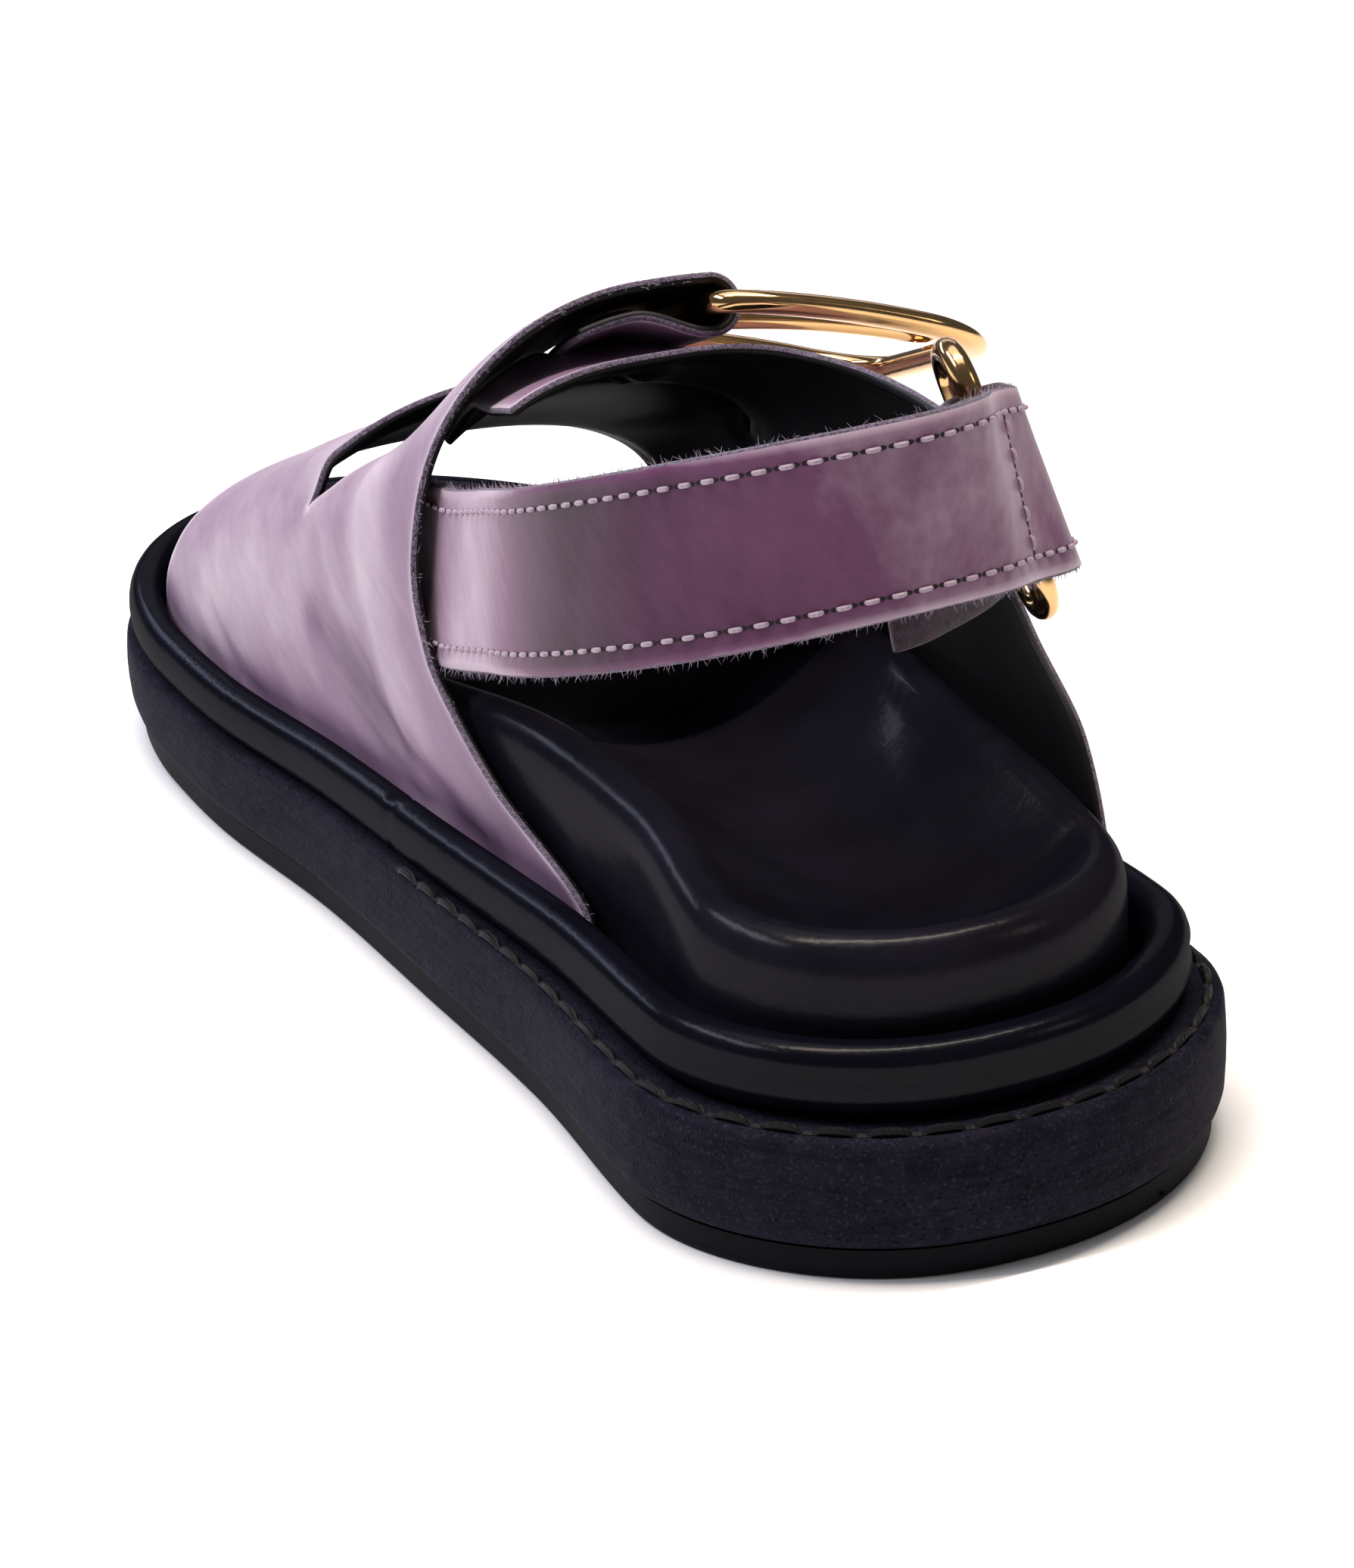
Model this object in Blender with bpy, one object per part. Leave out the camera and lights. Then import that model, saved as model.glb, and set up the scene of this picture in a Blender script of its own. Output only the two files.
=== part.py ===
"""Leather sandal, right shoe, women's EU 37, standing empty on its sole.

Shoe coordinates are millimetres: x to the outer side of the foot, y from the back of
the heel to the toe, z up from the floor. Meshes are placed with the middle of the
sandal's box at x = y = 0. Fractions s run over the foot from the inner side's base (0)
to the outer side's base (1).
"""
from math import cos, pi, radians, sin

import bpy
import numpy as np

OBJECT_NAME = "leather_sandal"
MM = 0.001
SOLE_LENGTH = 255.0
BOX_MIDDLE = (5.3, 127.5)
GAP = 0.3

# Sole outline: fraction of the length, half-width to the inner and the outer side
OUTLINE = (
    (0.00, 34.0, 38.0),
    (0.12, 37.5, 43.5),
    (0.28, 36.0, 41.2),
    (0.42, 37.2, 43.8),
    (0.56, 38.6, 48.0),
    (0.70, 42.3, 52.0),
    (0.85, 42.7, 49.8),
    (1.00, 44.0, 40.0),
)
HEEL_ROUND = (0.14, 2.2)
TOE_ROUND = (0.22, 2.1)
RING_POINTS = 80

# Sole build-up
TREAD_THICK = 4.0
TREAD_INSET = 1.6
TOE_SPRING = 4.0
SPRING_FROM = 168.0
# Top of the slab: y, z
SLAB_TOP = ((0, 18.9), (60, 18.9), (110, 18.2), (170, 16.4), (215, 16.6), (255, 18.0))
SLAB_BEVEL = 1.2

# Rand (leather roll) on the slab: y, ledge left outside it, its width, its height
RAND = (
    (0, 4.6, 6.4, 9.6),
    (45, 3.2, 6.2, 9.4),
    (85, 1.4, 5.6, 8.6),
    (110, 0.8, 5.4, 8.2),
    (180, 0.7, 5.4, 7.8),
    (255, 0.8, 5.6, 7.6),
)

# Footbed: y, rim height at the inner side, at the outer side, floor height
FOOTBED = (
    (0, 39.5, 39.5, 33.0),
    (32, 40.5, 40.5, 30.5),
    (62, 43.5, 44.5, 30.0),
    (88, 44.5, 45.0, 30.0),
    (120, 40.0, 40.0, 29.0),
    (155, 32.5, 32.5, 26.0),
    (190, 28.5, 28.5, 24.0),
    (225, 27.0, 27.0, 23.4),
    (255, 27.5, 27.5, 25.0),
)
RIM_ROLL = 4.0

# Upper leather
LEATHER = 2.4
# Fullness of the foot's last: y, power of its rounding
SECTION_POWER = ((150, 3.1), (212, 2.6))
SECTION_BULGE = 2.8
# Height of the top of the foot's last: y, z
RIDGE = (
    (40, 96.0), (85, 92.0), (110, 85.0), (130, 77.5), (155, 67.0), (186, 56.0), (207, 47.5), (228, 41.0),
)
# Edges of the pieces of the upper, as y over s
INSTEP_REAR = (
    (0.0, 66), (0.03, 67), (0.085, 93), (0.13, 106), (0.16, 112),
    (0.235, 117.5), (0.29, 118.5), (0.45, 114), (0.55, 111),
)
INSTEP_FRONT = ((0.0, 160), (0.25, 160), (0.28, 154), (0.33, 149), (0.45, 145), (0.55, 143))
TOE_REAR = (
    (0.0, 160), (0.25, 160), (0.28, 157.5), (0.33, 154), (0.5, 151.5),
    (0.67, 152.5), (0.72, 155), (0.75, 157), (1.0, 157),
)
TOE_FRONT = (
    (0.0, 221), (0.06, 219), (0.15, 212), (0.25, 208.5), (0.4, 207),
    (0.6, 207), (0.75, 206), (0.87, 203), (1.0, 197),
)
UNDER_REAR = (
    (0.375, 109), (0.55, 108), (0.60, 104), (0.625, 96), (0.645, 78),
    (0.655, 69), (0.75, 67), (0.80, 59), (0.86, 46), (0.92, 41), (1.0, 38),
)
UNDER_FRONT = ((0.375, 146), (0.55, 146), (0.67, 148), (0.72, 152), (0.75, 157), (1.0, 157))
STEP_S = 0.025
INSTEP_END = 0.55
UNDER_END = 0.375
# The instep strap lifts off the strap below it between these fractions
LIFT = 9.8
LIFT_RANGE = (0.25, 0.50)
STRAIGHTEN_FROM = 0.42
# The toe band's rear edge stands proud between these fractions
TOE_FLARE = 2.5
FLARE_RANGE = (0.25, 0.75)
FLARE_EASE = 0.05
# Rows and columns where the two crossing straps are tacked together
TACK_ROWS = (16, 18)
TACK_COLUMNS = (2, 5)

# Buckle
BAR_RADIUS = 1.6
FOLD_CLEAR = 0.35
FOLD_RETURN = 14.0
BUCKLE_LENGTH = 40.0
BUCKLE_SPAN = 42.5
BUCKLE_CORNER = 11.0
BUCKLE_WIRE = (5.4, 3.2)
BUCKLE_TILT = radians(10)
BUCKLE_SAG = 5.0
PRONG_RADIUS = 1.4

# Back strap: middle line x, y, z and inward lean in degrees
BACK_STRAP = (
    (-23.4, 124, 55.5, 9),
    (-24.2, 113, 57.5, 9),
    (-24.4, 103, 60.5, 8),
    (-27.0, 91, 64.5, 6),
    (-30.4, 77, 69.0, 5),
    (-29.6, 60, 74.8, 5),
    (-26.0, 44.5, 80.4, 5),
    (-18.5, 32.5, 85.0, 5),
    (-8.5, 26, 87.8, 5),
    (2.0, 25, 88.6, 5),
    (11.0, 29, 87.6, 6),
    (18.0, 36.5, 85.2, 6),
)
STRAP_WIDTH = 23.4
STRAP_THICK = 2.4
STRAP_APPROACH = 6.0
STRAP_RETURN = 46.0
RETURN_DROP = 5.5
DROP_FROM = 12.0

# Ring at the rear of the outer panel
RING_AT = (0.695, 69.0)
RING_REACH = 8.0
RING_RISE = 0.24
RING_TURN_IN = 0.15
RING_DEPTH = 10.0
RING_HEIGHT = 35.0
RING_WIRE = 1.7
LOOP_WIDTH = 14.0
LOOP_LEG = 9.5
LOOP_CLEAR = 1.6

# End of the toe strap, laid over the outer side of the toe band
TAB_S = (0.50, 0.74)
TAB_Y = (178.0, 203.0)
TAB_FREE = 9.0
TAB_CURL = radians(9)


def smooth(table, column, at):
    """Cubic curve through one column of a table, evaluated at the first column's values."""
    rows = np.array(table, float)
    knots, values = rows[:, 0], rows[:, column]
    slopes = np.gradient(values, knots)
    at = np.clip(np.asarray(at, float), knots[0], knots[-1])
    i = np.clip(np.searchsorted(knots, at) - 1, 0, len(knots) - 2)
    span = knots[i + 1] - knots[i]
    t = (at - knots[i]) / span
    start = values[i] * (1 + 2 * t) * (1 - t) ** 2 + slopes[i] * span * t * (1 - t) ** 2
    end = values[i + 1] * t * t * (3 - 2 * t) + slopes[i + 1] * span * t * t * (t - 1)
    return start + end


def linear(table, at):
    rows = np.array(table, float)
    return np.interp(at, rows[:, 0], rows[:, 1])


def ease(t):
    t = np.clip(t, 0.0, 1.0)
    return t * t * (3 - 2 * t)


def unit(v):
    return v / np.linalg.norm(v)


def side_width(u, column):
    """Half-width of the sole at fraction u, rounded off at heel and toe."""
    length, power = HEEL_ROUND
    heel = (1 - np.clip(1 - u / length, 0, 1) ** power) ** (1 / power)
    length, power = TOE_ROUND
    toe = (1 - np.clip(1 - (1 - u) / length, 0, 1) ** power) ** (1 / power)
    return smooth(OUTLINE, column, u) * heel * toe


def side_curve(column, sign):
    """Evenly spaced points of one side of the outline, heel to toe."""
    u = (1 - np.cos(np.linspace(0, pi, 400))) / 2
    x = sign * side_width(u, column)
    y = u * SOLE_LENGTH
    run = np.concatenate([[0], np.cumsum(np.hypot(np.diff(x), np.diff(y)))])
    even = np.linspace(0, run[-1], RING_POINTS // 2 + 1)
    return np.interp(even, run, x), np.interp(even, run, y)


def outline():
    """Ring of points (heel, inner side, toe, outer side) and outward normals."""
    inner_x, inner_y = side_curve(1, -1)
    outer_x, outer_y = side_curve(2, 1)
    x = np.concatenate([inner_x, outer_x[-2:0:-1]])
    y = np.concatenate([inner_y, outer_y[-2:0:-1]])
    tx = np.roll(x, -1) - np.roll(x, 1)
    ty = np.roll(y, -1) - np.roll(y, 1)
    length = np.hypot(tx, ty)
    return np.stack([x, y], 1), np.stack([-ty / length, tx / length], 1)


EDGE, OUTWARD = outline()
INNER_SIDE = np.arange(RING_POINTS) <= RING_POINTS // 2


def inset(distance):
    """The outline moved inward by a distance given for each of its points."""
    return EDGE - OUTWARD * np.broadcast_to(distance, len(EDGE))[:, None]


def bottom_z(y):
    rise = np.clip((y - SPRING_FROM) / (SOLE_LENGTH - SPRING_FROM), 0, None)
    return TOE_SPRING * rise ** 2


def slab_top(y):
    return smooth(SLAB_TOP, 1, y)


def rand_inner(y):
    """Distance from the outline to the inside of the rand."""
    return smooth(RAND, 1, y) + smooth(RAND, 2, y)


def place(point):
    """Shoe millimetres to metres about the middle of the sandal's box."""
    return tuple((np.asarray(point) - (*BOX_MIDDLE, 0.0)) * MM)


class Shell:
    """Vertices in shoe millimetres with faces, welded where they coincide."""

    def __init__(self):
        self.points = []
        self.faces = []
        self.known = {}

    def add(self, point, weld=False):
        key = tuple(np.round(point, 3))
        if weld and key in self.known:
            return self.known[key]
        self.points.append(np.asarray(point, float))
        self.known[key] = len(self.points) - 1
        return len(self.points) - 1

    def ring(self, points):
        return [self.add(p) for p in points]

    def bridge(self, low, high):
        """Quads between two closed rings; the second lies further along the outward side."""
        n = len(low)
        for i in range(n):
            j = (i + 1) % n
            self.faces.append((low[i], high[i], high[j], low[j]))

    def ladder(self, ring, points=None, up=True):
        """Close a sole-shaped ring with rungs from its inner to its outer side."""
        half = RING_POINTS // 2
        rungs = [[ring[0]]]
        for i in range(1, half):
            middle = [] if points is None else [self.add(p) for p in points[i]]
            rungs.append([ring[i]] + middle + [ring[-i]])
        rungs.append([ring[half]])
        for a, b in zip(rungs, rungs[1:]):
            for face in rung_faces(a, b):
                self.faces.append(face if up else face[::-1])

    def mesh(self):
        mesh = bpy.data.meshes.new("shell")
        mesh.from_pydata([place(p) for p in self.points], [], self.faces)
        mesh.validate()
        return mesh


def rung_faces(a, b):
    """Faces between neighbouring rungs, or from a rung to the single end point."""
    if len(a) == 1:
        return [(a[0], b[k + 1], b[k]) for k in range(len(b) - 1)]
    if len(b) == 1:
        return [(a[k], a[k + 1], b[0]) for k in range(len(a) - 1)]
    return [(a[k], a[k + 1], b[k + 1], b[k]) for k in range(len(a) - 1)]


def flat_ring(distance, height):
    """Inset outline at heights given by a function of y."""
    plan = inset(distance)
    return np.column_stack([plan, height(plan[:, 1])])


def make_tread():
    shell = Shell()
    profile = ((TREAD_INSET + 0.8, 0.0), (TREAD_INSET, 0.8), (TREAD_INSET, TREAD_THICK))
    rings = [shell.ring(flat_ring(d, lambda y, z=z: bottom_z(y) + z)) for d, z in profile]
    for low, high in zip(rings, rings[1:]):
        shell.bridge(low, high)
    shell.ladder(rings[0], up=False)
    shell.ladder(rings[-1])
    return shell


def make_slab():
    shell = Shell()
    under = TREAD_THICK + GAP
    rings = [
        shell.ring(flat_ring(SLAB_BEVEL, lambda y: bottom_z(y) + under)),
        shell.ring(flat_ring(0.0, lambda y: bottom_z(y) + under + 2.0)),
        shell.ring(flat_ring(0.0, lambda y: slab_top(y) - 1.0)),
        shell.ring(flat_ring(1.0, slab_top)),
    ]
    for low, high in zip(rings, rings[1:]):
        shell.bridge(low, high)
    shell.ladder(rings[0], up=False)
    shell.ladder(rings[-1])
    return shell


def make_rand():
    """Closed roll lying on the slab, flatter where it sits."""
    shell = Shell()
    y = EDGE[:, 1]
    ledge, width, height = (smooth(RAND, c, y) for c in (1, 2, 3))
    rings = []
    for turn in np.linspace(0, 2 * pi, 9)[:-1]:
        across = np.sign(cos(turn)) * abs(cos(turn)) ** 0.85
        upward = np.sign(sin(turn)) * abs(sin(turn)) ** 0.85
        plan = inset(ledge + width * (0.5 - across / 2))
        z = slab_top(y) + GAP + height * (0.5 + upward / 2)
        rings.append(shell.ring(np.column_stack([plan, z])))
    for low, high in zip(rings, rings[1:] + rings[:1]):
        shell.bridge(low, high)
    return shell


def panel_cover():
    """1 where the upper stands between rand and footbed, easing to 0 past its ends."""
    y = EDGE[:, 1]
    inner = ease((y - INSTEP_REAR[0][1] + 12) / 10) * ease((TOE_FRONT[0][1] + 12 - y) / 10)
    outer = ease((y - UNDER_REAR[-1][1] + 12) / 10) * ease((TOE_FRONT[-1][1] + 12 - y) / 10)
    return np.where(INNER_SIDE, inner, outer)


def make_footbed():
    """Wrapped footbed: upright wall, rolled rim and a dished top."""
    shell = Shell()
    y = EDGE[:, 1]
    wall = rand_inner(y) + GAP + (LEATHER + GAP) * panel_cover()
    rim = np.where(INNER_SIDE, smooth(FOOTBED, 1, y), smooth(FOOTBED, 2, y))
    base = slab_top(y) + GAP
    rings = []
    for back, drop in ((0.0, None), (0.5, RIM_ROLL), (1.8, 1.2), (4.2, 0.0), (6.8, 1.2)):
        z = base if drop is None else rim - drop
        rings.append(shell.ring(np.column_stack([inset(wall + back), z])))
    for low, high in zip(rings, rings[1:]):
        shell.bridge(low, high)
    inside = np.array([shell.points[i] for i in rings[-1]])
    dish = [[]]
    for i in range(1, RING_POINTS // 2):
        a, b = inside[i], inside[-i]
        rung = []
        for t in np.linspace(0, 1, 10)[1:-1]:
            p = a + (b - a) * t
            floor = smooth(FOOTBED, 3, p[1])
            wall_share = abs(2 * t - 1) ** 2.6
            end_share = ease((24 - p[1]) / 18) * 0.8
            share = max(wall_share, end_share)
            p[2] = floor + (p[2] - floor) * share
            rung.append(p)
        dish.append(rung)
    shell.ladder(rings[-1], dish)
    shell.ladder(rings[0], up=False)
    return shell


def base_x(y, inner):
    """Where the outside of the upper's leather stands between rand and footbed."""
    plan = inset(rand_inner(EDGE[:, 1]) + GAP)[INNER_SIDE if inner else ~INNER_SIDE]
    order = np.argsort(plan[:, 1])
    return np.interp(y, plan[order, 1], plan[order, 0])


def section(y):
    """Outside of the last at one station: points from inner base over the top to outer base."""
    inner, outer = base_x(y, True), base_x(y, False)
    low = float(slab_top(y)) + 0.7
    rise = float(smooth(RIDGE, 1, y)) - low
    turn = np.linspace(0, pi, 241)
    power = 2 / float(linear(SECTION_POWER, y))
    across = np.sign(np.cos(turn)) * np.abs(np.cos(turn)) ** power
    upward = np.abs(np.sin(turn)) ** power
    bulge = SECTION_BULGE * np.sin(2 * turn) ** 2 * np.sign(np.cos(turn))
    x = (inner + outer) / 2 - (outer - inner) / 2 * across - bulge
    z = low + rise * upward
    run = np.concatenate([[0], np.cumsum(np.hypot(np.diff(x), np.diff(z)))])
    return x, z, run / run[-1]


def on_last(s, y):
    x, z, run = section(y)
    return np.array([np.interp(s, run, x), y, np.interp(s, run, z)])


def last_frame(s, y):
    """Point on the last with its unit directions: along s, along y, outward."""
    along = unit(on_last(min(s + 0.006, 1), y) - on_last(max(s - 0.006, 0), y))
    toward_toe = unit(on_last(s, y + 1.0) - on_last(s, y - 1.0))
    return on_last(s, y), along, toward_toe, unit(np.cross(toward_toe, along)) * -1


def strip(rear, front, fractions, columns, lift=None):
    """Grid of points between two edges: one row per fraction s."""
    rows = []
    for s in fractions:
        row = []
        stations = np.linspace(linear(rear, s), linear(front, s), columns + 1)
        for k, y in enumerate(stations):
            point, _, _, out = last_frame(s, y)
            row.append(point if lift is None else point + out * lift(s, k / columns))
        rows.append(row)
    return np.array(rows)


def instep_lift(s, share):
    return LIFT * float(ease((s - LIFT_RANGE[0]) / (LIFT_RANGE[1] - LIFT_RANGE[0])))


def toe_lift(s, share):
    start, end = FLARE_RANGE
    along = float(ease((s - start) / FLARE_EASE) * ease((end - s) / FLARE_EASE))
    return TOE_FLARE * along * (1 - share) ** 2


def instep_rows():
    """Instep strap from the inner base to its fold, with the fold's straight frame."""
    fractions = np.arange(0, INSTEP_END + 1e-6, STEP_S)
    rows = strip(INSTEP_REAR, INSTEP_FRONT, fractions, 7, instep_lift)
    share = np.linspace(0, 1, rows.shape[1])[:, None]
    for s, row in zip(fractions, rows):
        straight = row[0] * (1 - share) + row[-1] * share
        row += (straight - row) * float(ease((s - STRAIGHTEN_FROM) / (INSTEP_END - STRAIGHTEN_FROM)))
    bar = unit(rows[-1][-1] - rows[-1][0])
    along = rows[-1].mean(0) - rows[-2].mean(0)
    along = unit(along - bar * along.dot(bar))
    out = unit(np.cross(along, bar))
    return rows, along, bar, out


def fold_rows(last_row, along, out, radius, length, steps=8):
    """Rows that turn back under the strap round a bar, then run straight back."""
    centre = last_row - out * radius
    rows = []
    for k in range(1, steps + 1):
        turn = pi * k / steps
        rows.append(centre + radius * (sin(turn) * along + cos(turn) * out))
    for d in np.linspace(0, length, 4)[1:]:
        rows.append(centre - radius * out - d * along)
    return np.array(rows), centre


def add_sheet(shell, grids, thickness, skip=None):
    """Thicken welded grids of outside points inward into one closed wall."""
    start = len(shell.points)
    labels = []
    quads = []
    for g, grid in enumerate(grids):
        ids = [[shell.add(p, weld=True) for p in row] for row in grid]
        for r in range(len(ids) - 1):
            for c in range(len(ids[0]) - 1):
                quads.append((ids[r][c], ids[r + 1][c], ids[r + 1][c + 1], ids[r][c + 1]))
                labels.append((g, r, c))
    count = len(shell.points) - start
    points = np.array(shell.points[start:])
    normals = np.zeros_like(points)
    for quad in quads:
        a, b, c, d = (points[i - start] for i in quad)
        normal = np.cross(c - a, d - b)
        for i in quad:
            normals[i - start] += normal
    normals /= np.linalg.norm(normals, axis=1)[:, None]
    shell.points.extend(points - normals * thickness)
    edges = {}
    outside, inside = {}, {}
    for quad, label in zip(quads, labels):
        outside[label] = quad
        inside[label] = tuple(i + count for i in quad[::-1])
        for a, b in zip(quad, quad[1:] + quad[:1]):
            edges[(a, b)] = True
    for a, b in edges:
        if (b, a) not in edges:
            shell.faces.append((b, a, a + count, b + count))
    shell.faces.extend(f for k, f in outside.items() if not skip or not skip(k, True))
    shell.faces.extend(f for k, f in inside.items() if not skip or not skip(k, False))
    return outside, inside


def rim_of(faces):
    """Directed boundary edges of a patch of faces."""
    edges = {(a, b) for f in faces for a, b in zip(f, f[1:] + f[:1])}
    return [(a, b) for a, b in edges if (b, a) not in edges]


def make_upper():
    """Both side panels, the toe band and the two crossing straps as one wall."""
    instep, along, _, out = instep_rows()
    radius = BAR_RADIUS + FOLD_CLEAR + LEATHER
    fold, _ = fold_rows(instep[-1], along, out, radius, FOLD_RETURN)
    under_s = np.arange(UNDER_END, 1 + 1e-6, STEP_S)
    toe_s = np.arange(0, 1 + 1e-6, STEP_S)
    under = strip(UNDER_REAR, UNDER_FRONT, under_s, 7)
    toe = strip(TOE_REAR, TOE_FRONT, toe_s, 8, toe_lift)
    first = int(round(UNDER_END / STEP_S))
    rows, columns = range(*TACK_ROWS), range(*TACK_COLUMNS)

    def tacked(label, outside):
        g, r, c = label
        if g == 0 and not outside:
            return r in rows and c in columns
        return g == 1 and outside and r + first in rows and c in columns

    shell = Shell()
    faces_out, faces_in = add_sheet(shell, [np.concatenate([instep, fold]), under, toe], LEATHER, tacked)
    above = [faces_in[(0, r, c)] for r in rows for c in columns]
    below = [faces_out[(1, r - first, c)] for r in rows for c in columns]
    lower = {}
    for top, base in zip(above, below):
        for a, b in zip(top[::-1], base):
            lower[a] = b
    for a, b in rim_of(above):
        shell.faces.append((a, b, lower[b], lower[a]))
    return shell


def outer_panel_frame():
    """Middle of the outer panel's wall at its rear edge, for the ring."""
    point, along, toward_toe, out = last_frame(*RING_AT)
    up = unit(-along + toward_toe * along.dot(toward_toe))
    back = unit(up * RING_RISE - toward_toe - out * RING_TURN_IN)
    up = unit(up - back * up.dot(back))
    out = unit(np.cross(up, back))
    return point - out * LEATHER / 2, back, up, out


def ring_bars():
    """Middles of the ring's front and rear bars with its directions."""
    middle, back, up, out = outer_panel_frame()
    front = middle + back * RING_REACH
    return front, front + back * RING_DEPTH, back, up, out


def tube(shell, path, across, binormal, sizes):
    """Sweep an ellipse of the given half-sizes round a closed path."""
    rings = []
    turn = np.linspace(0, 2 * pi, 9)[:-1]
    if np.cross(across[0], binormal[0]).dot(path[1] - path[0]) > 0:
        turn = -turn
    for p, a, b, (w, h) in zip(path, across, binormal, sizes):
        rings.append(shell.ring([p + a * w * cos(t) + b * h * sin(t) for t in turn]))
    for low, high in zip(rings, rings[1:] + rings[:1]):
        shell.bridge(low, high)


def rounded_loop(length, span, corner, steps=6):
    """Rounded rectangle from u = 0 to length, v = -span/2 to span/2, with outward directions."""
    loop = []
    corners = (
        (length - corner, span / 2 - corner, 0),
        (corner, span / 2 - corner, 90),
        (corner, -span / 2 + corner, 180),
        (length - corner, -span / 2 + corner, 270),
    )
    for u, v, start in corners:
        for k in range(steps + 1):
            turn = radians(start + 90 * k / steps)
            loop.append((u + corner * cos(turn), v + corner * sin(turn), cos(turn), sin(turn)))
    return loop


def round_wire(path, radius, closed):
    """Curve with a round bevel along a path in shoe millimetres."""
    curve = bpy.data.curves.new("wire", "CURVE")
    curve.dimensions = "3D"
    curve.bevel_depth = radius * MM
    curve.bevel_resolution = 2
    curve.use_fill_caps = not closed
    spline = curve.splines.new("POLY")
    spline.points.add(len(path) - 1)
    for spot, point in zip(spline.points, path):
        spot.co = (*place(point), 1.0)
    spline.use_cyclic_u = closed
    return curve


def make_ring():
    front, _, back, up, _ = ring_bars()
    loop = rounded_loop(RING_DEPTH, RING_HEIGHT, RING_DEPTH / 2 - 0.2)
    return round_wire([front + back * u + up * v for u, v, _, _ in loop], RING_WIRE, True)


def make_ring_loop():
    """Leather strip folded round the ring's front bar, its legs on both faces of the panel."""
    front, _, back, up, out = ring_bars()
    radius = RING_WIRE + FOLD_CLEAR + LEATHER / 2
    thick = LEATHER * 0.8
    leg = LEATHER / 2 + LOOP_CLEAR + thick / 2
    line = []
    for d in np.linspace(LOOP_LEG, 0, 5)[:-1]:
        offset = leg + (radius - leg) * float(ease(1 - d / 7.0))
        line.append(front - back * d + out * offset)
    for k in range(9):
        turn = pi * k / 8
        line.append(front + radius * (cos(turn) * out + sin(turn) * back))
    for d in np.linspace(0, LOOP_LEG, 5)[1:]:
        offset = leg + (radius - leg) * float(ease(1 - d / 7.0))
        line.append(front - back * d - out * offset)
    shell = Shell()
    ribbon(shell, np.array(line), [up] * len(line), LOOP_WIDTH, thick, 2)
    return shell


def ribbon(shell, line, upward, width, thickness, columns):
    """Flat strap along a line: width along the given directions, outside on the left."""
    grid = []
    for k, (p, up) in enumerate(zip(line, upward)):
        tangent = unit(line[min(k + 1, len(line) - 1)] - line[max(k - 1, 0)])
        up = unit(up - tangent * up.dot(tangent))
        out = np.cross(tangent, up)
        offsets = np.linspace(-width / 2, width / 2, columns + 1)
        grid.append([p + out * thickness / 2 + up * w for w in offsets])
    add_sheet(shell, [np.array(grid)], thickness)


def make_back_strap():
    """Strap from under the inner panel round the heel, through the ring and back inside."""
    _, rear, back, up, out = ring_bars()
    radius = RING_WIRE + FOLD_CLEAR + STRAP_THICK / 2
    end = rear + out * radius
    rows = np.array(BACK_STRAP, float)
    approach = end + back * STRAP_APPROACH
    knots = np.vstack([rows[:, :3], approach, end])
    run = np.concatenate([[0], np.cumsum(np.linalg.norm(np.diff(knots, axis=0), axis=1))])
    table = np.column_stack([run, knots, np.append(rows[:, 3], (8, 8))])
    at = np.linspace(0, run[-1], 40)
    line = [np.array([smooth(table, c, t) for c in (1, 2, 3)]) for t in at]
    lean = [radians(float(smooth(table, 4, t))) for t in at]
    upward = []
    for k, p in enumerate(line):
        tangent = unit(line[min(k + 1, 39)] - line[max(k - 1, 0)])
        outward = unit(np.array([tangent[1], -tangent[0], 0.0]))
        upright = np.array([0, 0, cos(lean[k])]) - outward * sin(lean[k])
        share = float(ease((at[k] - run[-1] + 40) / 34))
        upward.append(unit(upright * (1 - share) + up * share))
    outer = list(line)
    for k in range(1, 9):
        turn = pi * k / 8
        line.append(rear + radius * (cos(turn) * out - sin(turn) * back))
        upward.append(up)
    lie = STRAP_THICK + 3 * GAP
    for k in range(38, 0, -1):
        back_run = run[-1] - at[k]
        if back_run > STRAP_RETURN:
            break
        tangent = unit(outer[k + 1] - outer[k - 1])
        inward = unit(np.cross(upward[k], tangent))
        depth = lie + (2 * radius - lie) * float(ease(1 - back_run / 16))
        drop = RETURN_DROP * float(ease((back_run - DROP_FROM) / (STRAP_RETURN - DROP_FROM)))
        line.append(outer[k] + inward * depth - upward[k] * drop)
        upward.append(upward[k])
    shell = Shell()
    ribbon(shell, np.array(line), upward, STRAP_WIDTH, STRAP_THICK, 3)
    return shell


def buckle_frame_axes():
    """Middle of the buckle's bar, and its directions across the foot, along the bar and outward."""
    instep, along, bar, out = instep_rows()
    radius = BAR_RADIUS + FOLD_CLEAR + LEATHER
    middle = instep[-1].mean(0) - out * radius
    return middle, along, bar, out


def buckle_point(axes, u, v, lift=0.0):
    """Point on the bent plane of the buckle."""
    middle, along, bar, out = axes
    across = along * cos(BUCKLE_TILT) - out * sin(BUCKLE_TILT)
    normal = out * cos(BUCKLE_TILT) + along * sin(BUCKLE_TILT)
    sag = BUCKLE_SAG * (u / BUCKLE_LENGTH) ** 2
    return middle + across * u + bar * v + normal * (lift - sag)


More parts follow.
